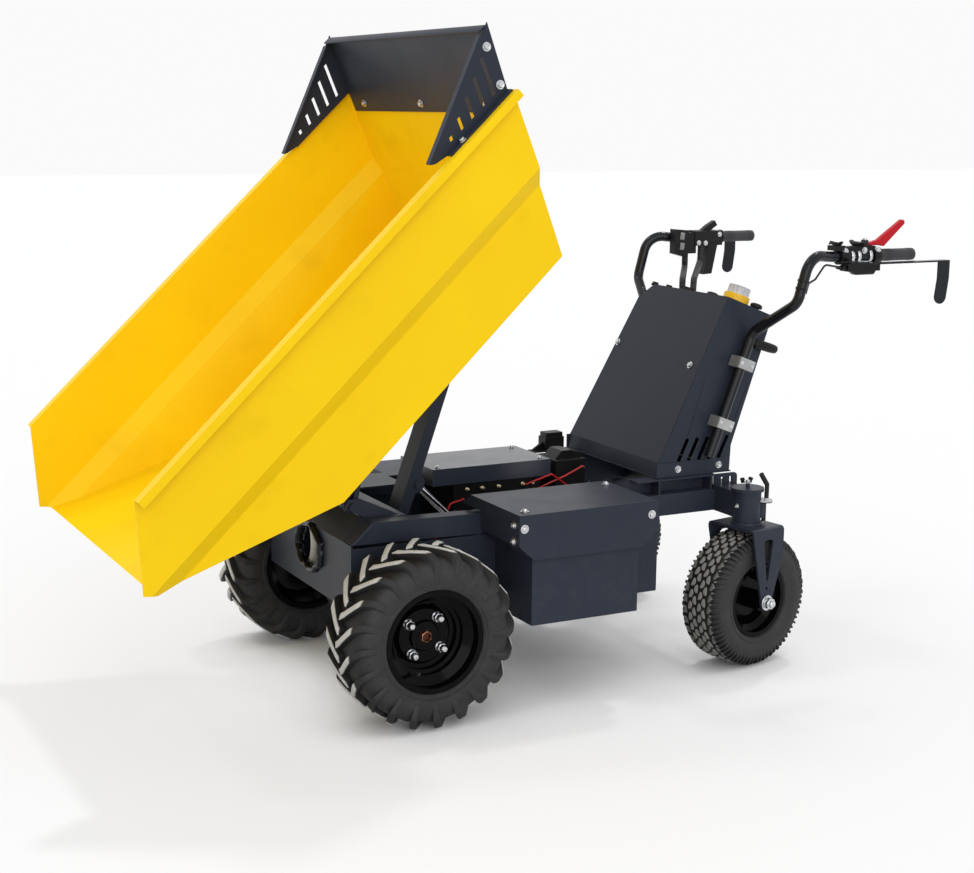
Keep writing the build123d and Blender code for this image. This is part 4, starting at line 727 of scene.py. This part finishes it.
# drive wheel fittings: four nuts with round-ended studs, hub nut and valve
wheelNut = {
    "count": 4, "circle": 0.050, "first": 38.0, "turn": 17.0, "base": 0.0142, "size": 0.0112,
    "stud": [
        (0.0004, 0.0120), (0.0086, 0.0120), (0.0088, 0.0150), (0.0088, 0.0215), (0.0080, 0.0245),
        (0.0055, 0.0268), (0.0004, 0.0275),
    ],
}


def studNut():
    size = wheelNut["size"]
    wide, narrow = size * 1.15, size * 0.95
    cone = turned([(0.0005, 0.0), (wide, 0.0), (wide, 0.0025), (narrow, 0.0045), (0.0005, 0.0045)], 24)
    body = drum(size * 1.05, 0.0040, 0.0100, 6)
    pickTop(body)
    inset(size * 0.10, size * 0.10)
    leaveEdit()
    stud = turned(wheelNut["stud"], 20)
    return join([roundEdges(cone, 0.0003, 1), roundEdges(body, 0.0004, 1), stud])


nutPlaces = []
for index in range(wheelNut["count"]):
    angle = math.radians(wheelNut["first"] + 360.0 / wheelNut["count"] * index)
    place = (wheelNut["circle"] * math.cos(angle), wheelNut["base"], wheelNut["circle"] * math.sin(angle))
    nutPlaces.append(aim(place, (0, 1, 0), wheelNut["turn"] * index))
hubFitting = {
    "radius": 0.0138, "base": 0.0206, "high": 0.0085, "hollow": -0.0055,
    "washer": [(0.0158, 0.0120), (0.0235, 0.0120), (0.0235, 0.0150), (0.0158, 0.0150)],
}
hubNut = drum(hubFitting["radius"], hubFitting["base"], hubFitting["high"], 6)
pickTop(hubNut)
inset(0.0015, 0.0012)
inset(0.0012, 0.0)
extrude((0, 0, hubFitting["hollow"]))
leaveEdit()
roundEdges(hubNut, 0.0006, 1)
hubWasher = turned(hubFitting["washer"], 40)
valveStem = {
    "outline": [
        (0.0003, 0.0), (0.0056, 0.0), (0.0052, 0.010), (0.0036, 0.014), (0.0036, 0.024), (0.0042, 0.0245),
        (0.0042, 0.032), (0.0030, 0.034), (0.0003, 0.034),
    ],
    "place": (0.040, 0.036, -0.0745), "way": (-0.1, 1, 0.2),
}
valve = turned(valveStem["outline"], 18)
nuts = setOut(studNut(), nutPlaces)
hubNut.data.transform(toAxle)
hubWasher.data.transform(toAxle)
for side in ("left", "right"):
    body = "drive_wheel_" + side
    made = setOut(nuts, [wheelPlace[side]], keep=True)
    finishPiece(made, "wheelNuts" + side.title(), zinc, body)
    made = setOut(hubNut, [wheelPlace[side]], keep=True)
    finishPiece(made, "hubNut" + side.title(), copper, body)
    made = setOut(hubWasher, [wheelPlace[side]], keep=True)
    finishPiece(made, "hubWasher" + side.title(), looks["rim_black"], body)
    made = setOut(valve, [wheelPlace[side] @ aim(valveStem["place"], valveStem["way"])], keep=True)
    finishPiece(made, "valve" + side.title(), looks["hose_black"], body)
for master in (nuts, hubNut, hubWasher, valve):
    bpy.data.objects.remove(master)
print("wheel fittings done")

# rear wheel axle ends: washer, nut and round-ended stud on both sides of each fork
axleEnd = {
    "washer": [
        (0.0002, 0.0), (0.0185, 0.0), (0.0190, 0.0008), (0.0190, 0.0030), (0.0182, 0.0036), (0.0002, 0.0036),
    ],
    "nutRadius": 0.0150, "nutBase": 0.0030, "nutHigh": 0.0122,
    "stud": [(0.0002, 0.0140), (0.0088, 0.0140), (0.0088, 0.0212), (0.0072, 0.0226), (0.0002, 0.0228)],
    "reach": 0.0761, "turn": 12,
}


def axleEndMaster():
    washer = turned(axleEnd["washer"], 36)
    nut = drum(axleEnd["nutRadius"], axleEnd["nutBase"], axleEnd["nutHigh"], 6)
    pickTop(nut)
    inset(0.0014, 0.0010)
    leaveEdit()
    stud = turned(axleEnd["stud"], 24)
    return join([washer, roundEdges(nut, 0.0005, 1), stud])


ends = setOut(axleEndMaster(), [
    aim((0, sign * axleEnd["reach"], 0), (0, sign, 0), axleEnd["turn"]) for sign in (1, -1)
])
for side in ("left", "right"):
    made = setOut(ends, [casterPlace[side]], keep=True)
    finishPiece(made, "axleNuts" + side.title(), zinc, "caster_fork_" + side)
bpy.data.objects.remove(ends)

# swivel caps: hex screw on top between two short black lugs
swivelCap = {
    "screw": 0.0058, "screwTurn": 20, "lugTurn": 30, "inward": 0.006,
    "lugs": ((-0.0105, -0.25), (0.0105, 0.2)),
    "lug": [(0.0002, 0.0), (0.0050, 0.0), (0.0046, 0.005), (0.0060, 0.007), (0.0056, 0.0115), (0.0002, 0.0125)],
}
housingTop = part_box("caster_housings")[1][2]
capPlaces = []
lugPlaces = []
for sign in (1, -1):
    capPlaces.append(aim((casterX, sign * casterY, housingTop + 0.0001), (0, 0, 1), swivelCap["screwTurn"]))
    for shift, lean in swivelCap["lugs"]:
        spot = (casterX + shift, sign * casterY - swivelCap["inward"], housingTop)
        lugPlaces.append(aim(spot, (lean, 0, 1), swivelCap["lugTurn"]))
capScrews = setOut(hexScrew(swivelCap["screw"]), capPlaces)
finishPiece(capScrews, "swivelScrews", zinc, "chassis")
lug = turned(swivelCap["lug"], 16)
capLugs = setOut(roundEdges(lug, 0.0005, 1), lugPlaces)
finishPiece(capLugs, "swivelLugs", looks["housing_black"], "chassis")

# grommet round the opening in the nose, and a coil of pale hose behind it
grommet = {"centre": (0.4867, 0.010, 0.333), "wide": 0.0715, "high": 0.0530, "lip": 0.0105, "flat": 0.9}
deselectAll()
bpy.ops.mesh.primitive_torus_add(
    major_radius=grommet["wide"], minor_radius=grommet["lip"], major_segments=72, minor_segments=14
)
lip = bpy.context.object
pickFaces(lip, lambda centre, normal: abs(normal.z) > 0.75)
bpy.ops.transform.resize(value=(1, 1, 1.35))
leaveEdit()
for vertex in lip.data.vertices:
    around = math.atan2(vertex.co.y, vertex.co.x)
    swell = 1.0 + 0.035 * math.sin(7 * around) + 0.02 * math.sin(13 * around + 1.0)
    upright = vertex.co.x * grommet["high"] / grommet["wide"] * swell
    vertex.co = (upright, vertex.co.y * swell, vertex.co.z * grommet["flat"])
acrossNose = Matrix.Rotation(math.radians(90), 4, "Y")
made = setOut(lip, [Matrix.Translation(grommet["centre"]) @ acrossNose])
finishPiece(made, "noseGrommet", looks["tube_black"], "chassis", 60)

hoseCoil = {"centre": (0.4665, -0.070, 0.335), "radius": 0.062, "thick": 0.0115, "tall": 1.15, "steps": 72}
deselectAll()
bpy.ops.mesh.primitive_torus_add(
    major_radius=hoseCoil["radius"], minor_radius=hoseCoil["thick"], major_segments=hoseCoil["steps"],
    minor_segments=16,
)
coil = bpy.context.object
coil.scale = (hoseCoil["tall"], 1, 1)
applyPlace(coil)


# the step, counted round a ring, that a face's centre falls in
def stepAround(centre, steps):
    return int((math.atan2(centre.y, centre.x) + math.pi) * steps / math.tau)


pickFaces(coil, lambda centre, normal: stepAround(centre, hoseCoil["steps"]) % 2 == 0)
bpy.ops.transform.resize(value=(0.985, 0.985, 0.985))
leaveEdit()
paleHose = moulded("paleHose", (0.50, 0.49, 0.47), 0.42, 160.0, 0.2)
made = setOut(coil, [Matrix.Translation(hoseCoil["centre"]) @ acrossNose])
finishPiece(made, "innerHose", paleHose, "chassis", 60)
print("casters and nose done")

# strap plates over the tube clamps, with two socket screws each
strapPlate = {
    "size": (0.046, 0.0026, 0.0270), "outer": 0.2562, "round": 0.0010, "screw": 0.0026,
    "places": ((-0.5647, 0.732), (-0.5082, 0.587)), "holes": (-0.0165, 0.0165),
    "lean": math.atan2(0.118, 0.303),
}
thick = strapPlate["size"][1]
plate = slab(strapPlate["size"])
roundEdges(plate, strapPlate["round"], 2)
platePlaces = []
strapScrews = []
for x, z in strapPlate["places"]:
    for sign in (1, -1):
        place = Matrix.Translation((x, sign * (strapPlate["outer"] + thick / 2), z))
        place = place @ Matrix.Rotation(-strapPlate["lean"], 4, "Y")
        platePlaces.append(place)
        for shift in strapPlate["holes"]:
            spot = place @ Vector((shift, sign * 0.0012, 0))
            strapScrews.append(aim(spot, (0, sign, 0), 3000 * shift))
strapLook = moulded("strapPlate", (0.36, 0.365, 0.365), 0.45, 700.0, 0.5)
plates = setOut(plate, platePlaces)
finishPiece(plates, "strapPlates", strapLook, "chassis")
screws = setOut(panScrew(strapPlate["screw"]), strapScrews)
finishPiece(screws, "strapScrews", zinc, "chassis")

# places on the console and bars are given from the drive axle
axleShift = 0.36774
consoleTop = {"brow": (-0.902, 0.896), "tail": (-1.0375, 0.843)}


# a point on the console's top and the way it faces
def onTop(x, y, lift=0.0):
    brow = Vector((consoleTop["brow"][0] + axleShift, 0, consoleTop["brow"][1]))
    tail = Vector((consoleTop["tail"][0] + axleShift, 0, consoleTop["tail"][1]))
    share = (x + axleShift - brow.x) / (tail.x - brow.x)
    point = brow.lerp(tail, share) + Vector((0, y, 0))
    normal = Vector((tail.z - brow.z, 0, brow.x - tail.x)).normalized()
    return point + normal * lift, normal


# low round knobs on the console's top and the side lever, in place of the plain ones
consoleKnob = {
    "outline": [
        (0.0002, 0.0), (0.0085, 0.0), (0.0085, 0.0035), (0.0150, 0.0045), (0.0158, 0.0090), (0.0142, 0.0128),
        (0.0090, 0.0150), (0.0002, 0.0155),
    ],
    "places": ((-0.955, 0.066), (-1.000, 0.190), (-0.985, -0.020)),
}
sideLever = {
    "outline": [
        (0.0002, -0.012), (0.0060, -0.0110), (0.0100, -0.0070), (0.0119, 0.0), (0.0119, 0.040),
        (0.0112, 0.054), (0.0098, 0.0620), (0.0060, 0.0655), (0.0002, 0.0664),
    ],
    "start": (-0.980 + axleShift, 0.2268, 0.778), "way": (-0.052, 0, -0.016), "narrow": 0.98,
}
knob = turned(consoleKnob["outline"], 32)
knobs = setOut(knob, [aim(*onTop(x, y, 0.0004)) for x, y in consoleKnob["places"]])
lever = turned(sideLever["outline"], 32)
leverPlace = aim(Vector(sideLever["start"]), sideLever["way"])
lever = setOut(lever, [leverPlace @ Matrix.Scale(sideLever["narrow"], 4, (1, 0, 0))])
controls = join([knobs, lever])
finishPiece(controls, "consoleKnobs", looks["housing_black"], "chassis", 50)
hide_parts("console_controls")

# hoses' collars and small clips where they meet the console's top
consoleClip = {
    "collar": [
        (0.0088, 0.0), (0.0135, 0.0), (0.0135, 0.004), (0.0118, 0.006), (0.0118, 0.012), (0.0088, 0.012),
    ],
    "collars": ((-1.000, -0.132), (-1.008, -0.096)),
    "size": (0.020, 0.010, 0.006), "rise": (0.002, 0, 0.005), "turn": 25,
    "clips": ((-0.925, -0.150), (-0.935, -0.100), (-0.920, 0.005), (-0.926, 0.022), (-0.965, -0.118)),
}
collar = turned(consoleClip["collar"], 28)
collars = setOut(collar, [aim(*onTop(x, y, 0.0003)) for x, y in consoleClip["collars"]])
clip = slab(consoleClip["size"], (0, 0, consoleClip["size"][2] / 2))
pickTop(clip)
inset(0.002, 0.0)
extrude(consoleClip["rise"])
leaveEdit()
roundEdges(clip, 0.0006, 1)
clipPlaces = [aim(*onTop(x, y, 0.0002), consoleClip["turn"]) for x, y in consoleClip["clips"]]
clips = join([collars, setOut(clip, clipPlaces)])
finishPiece(clips, "consoleClips", looks["housing_black"], "chassis")

# beacon lens: clear cap with upright ribs
beaconCap = {"at": (-0.966, 0.150), "lift": 0.0213, "radius": 0.0279, "high": 0.0217, "steps": 48}
lens = drum(beaconCap["radius"], 0.0, beaconCap["high"], beaconCap["steps"])
pickFaces(
    lens, lambda centre, normal: abs(normal.z) < 0.5 and stepAround(centre, beaconCap["steps"]) % 3 != 0
)
inset(0.0007, -0.0012)
leaveEdit()
pickFaces(lens, lambda centre, normal: normal.z > 0.9 and abs(centre.z - beaconCap["high"]) < 0.0005)
inset(0.0030, 0.0)
inset(0.0100, -0.0010)
leaveEdit()
roundEdges(lens, 0.0004, 1)
lens = setOut(lens, [aim(*onTop(*beaconCap["at"], beaconCap["lift"]))])
finishPiece(lens, "beaconCap", looks["beacon_clear"], "chassis")
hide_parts("beacon_lens")
print("console done")

# left hand control: bright bands and screws round the clamp, hooked latch, adjuster, lower pod
tubeY, tubeZ = 0.334, 0.997
alongBar = (-1, 0, 0)
leftClamp = {
    "band": [
        (0.0134, -0.0045), (0.0175, -0.0045), (0.0185, -0.003), (0.0185, 0.003), (0.0175, 0.0045),
        (0.0134, 0.0045),
    ],
    "bands": (-1.170, -1.190, -1.226),
    "screw": 0.0042,
    "screws": (
        ((-1.147, 0.0128, 0.0155), (0, 0.64, 0.77), 0), ((-1.206, 0.0131, 0.0140), (0, 1, 0), 15),
        ((-1.216, 0.0, 0.0382), (0, 0, 1), 15), ((-1.246, 0.0150, 0.0150), (0, 0.7, 0.7), 30),
    ),
    "hook": (0.030, 0.012, 0.010),
    "adjuster": [
        (0.0002, 0.0), (0.0050, 0.0), (0.0050, 0.010), (0.0072, 0.011), (0.0072, 0.019), (0.0050, 0.020),
        (0.0042, 0.030), (0.0030, 0.031), (0.0030, 0.034), (0.0002, 0.034),
    ],
    "pod": (0.086, 0.024, 0.016),
}


# a place beside the left tube, from the drive axle and the tube's middle
def byTube(x, y=0.0, z=0.0):
    return x + axleShift, tubeY + y, tubeZ + z


band = turned(leftClamp["band"], 40)
bands = setOut(band, [aim(byTube(x), alongBar) for x in leftClamp["bands"]])
screwSet = setOut(panScrew(leftClamp["screw"]), [
    aim(byTube(*spot), way, turn) for spot, way, turn in leftClamp["screws"]
])
brightBits = join([bands, screwSet])
finishPiece(brightBits, "clampBands", zinc, "chassis")

hook = slab(leftClamp["hook"], (0, 0, leftClamp["hook"][2] / 2))
pickFaces(hook, lambda centre, normal: normal.x > 0.9)
extrude((0.012, 0, 0.004))
bpy.ops.transform.resize(value=(1, 0.8, 0.7))
extrude((0.006, 0, -0.008))
bpy.ops.transform.resize(value=(1, 0.8, 0.6))
leaveEdit()
pickFaces(hook, lambda centre, normal: normal.x < -0.9)
extrude((-0.010, 0, 0.006))
bpy.ops.transform.resize(value=(1, 0.85, 0.6))
leaveEdit()
roundEdges(hook, 0.0016, 2)
hooks = setOut(hook, [
    aim(byTube(-1.196, -0.002, 0.0242), (0.16, 0, 1)),
    aim(byTube(-1.130, -0.002, 0.0272), (-0.12, 0, 1)) @ Matrix.Scale(0.8, 4),
])
adjuster = setOut(turned(leftClamp["adjuster"], 20), [aim(byTube(-1.161, 0.004, -0.0282), (1, 0.05, 0.05))])
lowerPod = slab(leftClamp["pod"], byTube(-1.209, 0.0, -0.0385))
pickFaces(lowerPod, lambda centre, normal: normal.z < -0.9)
bpy.ops.transform.resize(value=(0.66, 0.8, 1), center_override=byTube(-1.226, 0.0, -0.045))
leaveEdit()
roundEdges(lowerPod, 0.0030, 3)
darkBits = join([hooks, adjuster, lowerPod])
finishPiece(darkBits, "latchHooks", looks["housing_black"], "chassis", 40)

# right hand control: two blank keys on the switch box, and its screws
switchFace = {
    "key": (0.014, 0.0022, 0.020), "keyX": -1.104, "keyHeights": (1.004, 0.976), "keyReach": 0.041,
    "screw": 0.0036, "screwReach": 0.0361,
    "screws": ((-1.163, 0.984, 0), (-1.186, 0.983, 20), (-1.232, 1.006, 40)),
}
keyPad = slab(switchFace["key"])
pickFaces(keyPad, lambda centre, normal: normal.y > 0.9)
inset(0.0018, 0.0008)
leaveEdit()
roundEdges(keyPad, 0.0012, 2)
keyFace = -tubeY + switchFace["keyReach"]
keys = setOut(keyPad, [
    Matrix.Translation((switchFace["keyX"] + axleShift, keyFace + 0.0012, z))
    @ Matrix.Rotation(math.radians(-8), 4, "Y")
    for z in switchFace["keyHeights"]
])
keyLook = moulded("blankKeys", (0.20, 0.20, 0.20), 0.5, 500.0, 0.5)
finishPiece(keys, "blankKeys", keyLook, "chassis")
rightScrews = setOut(panScrew(switchFace["screw"]), [
    aim((x + axleShift, -tubeY + switchFace["screwReach"], z), (0, 1, 0), turn)
    for x, z, turn in switchFace["screws"]
])
finishPiece(rightScrews, "switchScrews", zinc, "chassis")

# cable ties on the left tube, strap ring with its head and tail
cableTie = {
    "ring": [(0.0133, -0.0022), (0.0148, -0.0022), (0.0148, 0.0022), (0.0133, 0.0022)],
    "foot": (-1.0022 + axleShift, 0.3543, 0.8897), "rise": (-0.0316, 0.0020, 0.1152),
    "ties": ((0.46, -35), (0.30, 150)),
}
tie = turned(cableTie["ring"], 36)
head = slab((0.0065, 0.0055, 0.0060), (0.0165, 0, 0))
tail = slab((0.012, 0.0012, 0.0036), (0.0250, 0.0022, 0))
tie = join([tie, roundEdges(head, 0.0008, 1), roundEdges(tail, 0.0003, 1)])
tubeRise = Vector(cableTie["rise"])
ties = setOut(tie, [
    aim(Vector(cableTie["foot"]) + tubeRise * share, tubeRise, turn) for share, turn in cableTie["ties"]
])
finishPiece(ties, "cableTies", looks["housing_black"], "chassis")

# grips: fine ribs round the rubber, one set near each end
gripRib = {
    "outline": [(0.0140, -0.0011), (0.0154, -0.0008), (0.0154, 0.0008), (0.0140, 0.0011)],
    "pitch": 0.0042, "sets": ((-1.278, 5), (-1.350, 3)),
}
gripPlaces = []
for sign in (1, -1):
    for start, count in gripRib["sets"]:
        for index in range(count):
            x = start + axleShift - gripRib["pitch"] * index
            gripPlaces.append(aim((x, sign * tubeY, tubeZ), alongBar))
ribs = setOut(turned(gripRib["outline"], 36), gripPlaces)
finishPiece(ribs, "gripRibs", looks["grip_rubber"], "chassis")
print("hand controls done")

# small zinc screw on each swivel arm, beside the housing
swivelDot = {"place": (-0.5001, 0.3250, 0.3975), "size": 0.0036, "lean": 0.2, "turn": 10}
x, y, z = swivelDot["place"]
dotPlaces = [
    aim((x, sign * y, z), (1, sign * swivelDot["lean"], 0), swivelDot["turn"]) for sign in (1, -1)
]
dots = setOut(panScrew(swivelDot["size"]), dotPlaces)
finishPiece(dots, "swivelDots", zinc, "chassis")

# controller: screws near the lid's corners, and terminal posts on its wired side
controller = {
    "screw": 0.0042, "insetX": 0.022, "insetY": 0.020, "postHeight": 0.4200, "postScale": 0.72,
    "posts": (-0.125, -0.098, -0.030, 0.016, 0.058),
    "post": [
        (0.0002, 0.0), (0.0070, 0.0), (0.0070, 0.0030), (0.0040, 0.0036), (0.0040, 0.0085), (0.0052, 0.0090),
        (0.0052, 0.0125), (0.0030, 0.0130), (0.0002, 0.0132),
    ],
}
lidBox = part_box("controller_lid")
lidPlaces = []
for x in (lidBox[0][0] + controller["insetX"], lidBox[1][0] - controller["insetX"]):
    for y in (lidBox[0][1] + controller["insetY"], lidBox[1][1] - controller["insetY"]):
        lidPlaces.append(aim((x, y, lidBox[1][2] + 0.0001), (0, 0, 1), 400 * x))
lidScrews = setOut(hexScrew(controller["screw"]), lidPlaces)
finishPiece(lidScrews, "lidScrews", zinc, "chassis")
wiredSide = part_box("controller_block")[1][1]
postPlaces = [
    aim((x, wiredSide, controller["postHeight"]), (0, 1, 0.1), 20) @ Matrix.Scale(controller["postScale"], 4)
    for x in controller["posts"]
]
brass = metal("brassPost", (0.62, 0.52, 0.34), 0.3)
posts = setOut(turned(controller["post"], 20), postPlaces)
finishPiece(posts, "controllerPosts", brass, "chassis")
print("small fittings done")

# camera
view = {
    "sensor": 36.0, "lens": 63.151, "place": (1.932568, 3.628351, 1.337832),
    "turn": (79.190704, -0.617259, 152.297794),
}
cameraData = bpy.data.cameras.new("camera")
cameraData.sensor_width = view["sensor"]
cameraData.lens = view["lens"]
camera = bpy.data.objects.new("camera", cameraData)
camera.location = view["place"]
camera.rotation_euler = [math.radians(angle) for angle in view["turn"]]
scene.collection.objects.link(camera)
scene.camera = camera
scene.view_settings.view_transform = "Standard"

# floor, a smooth pale sheet that runs out to the backdrop
studio = {
    "size": 60.0, "floor": (0.838, 0.841, 0.848), "bounce": 0.64, "backdrop": (0.956, 0.956, 0.960),
    "near": 0.42, "nearStep": (0.35, 0.9), "wide": 1.6, "lift": 0.22, "wideLift": 0.85, "room": 0.89,
}
bpy.ops.object.select_all(action="DESELECT")
bpy.ops.mesh.primitive_plane_add(size=studio["size"], location=(0, 0, 0))
floor = bpy.context.object
floor.name = "studioFloor"
floorLook = Look("studioFloor", studio["floor"], 0.55, Specular_IOR_Level=0.0)
bounceRays = floorLook.node("ShaderNodeLightPath", output="Is Diffuse Ray")
floorLook.tone(bounceRays, shade(studio["floor"], studio["bounce"]))
floorLook.bump(floorLook.noise(25.0, 3.0), 0.03, 0.001)
# the eye sees the floor nearly as pale as the backdrop, through a glow that is painted light; it lifts the
# shade most where the floor lies far under things, and the shade is kept close to what stands on it
glow = floorLook.tree.nodes.new("ShaderNodeEmission")
glow.inputs["Color"].default_value = (*studio["backdrop"], 1.0)
blend = floorLook.tree.nodes.new("ShaderNodeMixShader")
eye = floorLook.node("ShaderNodeLightPath", output="Is Camera Ray")
near = floorLook.node("ShaderNodeAmbientOcclusion", {"Distance": studio["near"]}, output="AO", samples=8)
wide = floorLook.node("ShaderNodeAmbientOcclusion", {"Distance": studio["wide"]}, output="AO", samples=8)
lift = (wide * -studio["wideLift"] + studio["wideLift"] + studio["lift"]) * near.step(*studio["nearStep"])
floorLook.tree.links.new((eye * lift.clip()).socket, blend.inputs[0])
floorLook.tree.links.new(floorLook.shader.outputs[0], blend.inputs[1])
floorLook.tree.links.new(glow.outputs[0], blend.inputs[2])
floorLook.tree.links.new(blend.outputs[0], floorLook.tree.nodes["Material Output"].inputs["Surface"])
floor.data.materials.append(floorLook.material)

# room light: one even tone for surfaces, and the pale backdrop for the eye, gloss and glass
world = bpy.data.worlds.new("studio")
scene.world = world
world.use_nodes = True
tree = world.node_tree
background = tree.nodes["Background"]
path = tree.nodes.new("ShaderNodeLightPath")
seen = Sock(tree, path.outputs["Is Camera Ray"]) + Sock(tree, path.outputs["Is Glossy Ray"])
seen = seen + Sock(tree, path.outputs["Is Transmission Ray"])
mix = tree.nodes.new("ShaderNodeMix")
mix.data_type = "RGBA"
mix.clamp_factor = True
mix.inputs[6].default_value = (studio["room"], studio["room"], studio["room"] * 1.005, 1.0)
mix.inputs[7].default_value = (*studio["backdrop"], 1.0)
tree.links.new(seen.socket, mix.inputs[0])
tree.links.new(mix.outputs[2], background.inputs["Color"])
background.inputs["Strength"].default_value = 1.0


# broad lamps, so far off that they light evenly: a direction, how wide, how strong
def lamp(name, direction, width, strength):
    data = bpy.data.lights.new(name, "SUN")
    data.energy = strength
    data.angle = math.radians(width)
    light = bpy.data.objects.new(name, data)
    light.location = Vector(direction) * -6.0
    light.rotation_euler = Vector(direction).to_track_quat("-Z", "Y").to_euler()
    scene.collection.objects.link(light)


lamps = {
    "mainLamp": ((0.45, 0.33, -1.0), 5.0, 0.56),
    "sideLamp": ((-0.42, 0.36, -1.0), 9.0, 0.26),
    "frontFill": ((-0.24, -0.92, -0.30), 50.0, 0.86),
}
for name, (direction, width, strength) in lamps.items():
    lamp(name, direction, width, strength)
print("stage set")
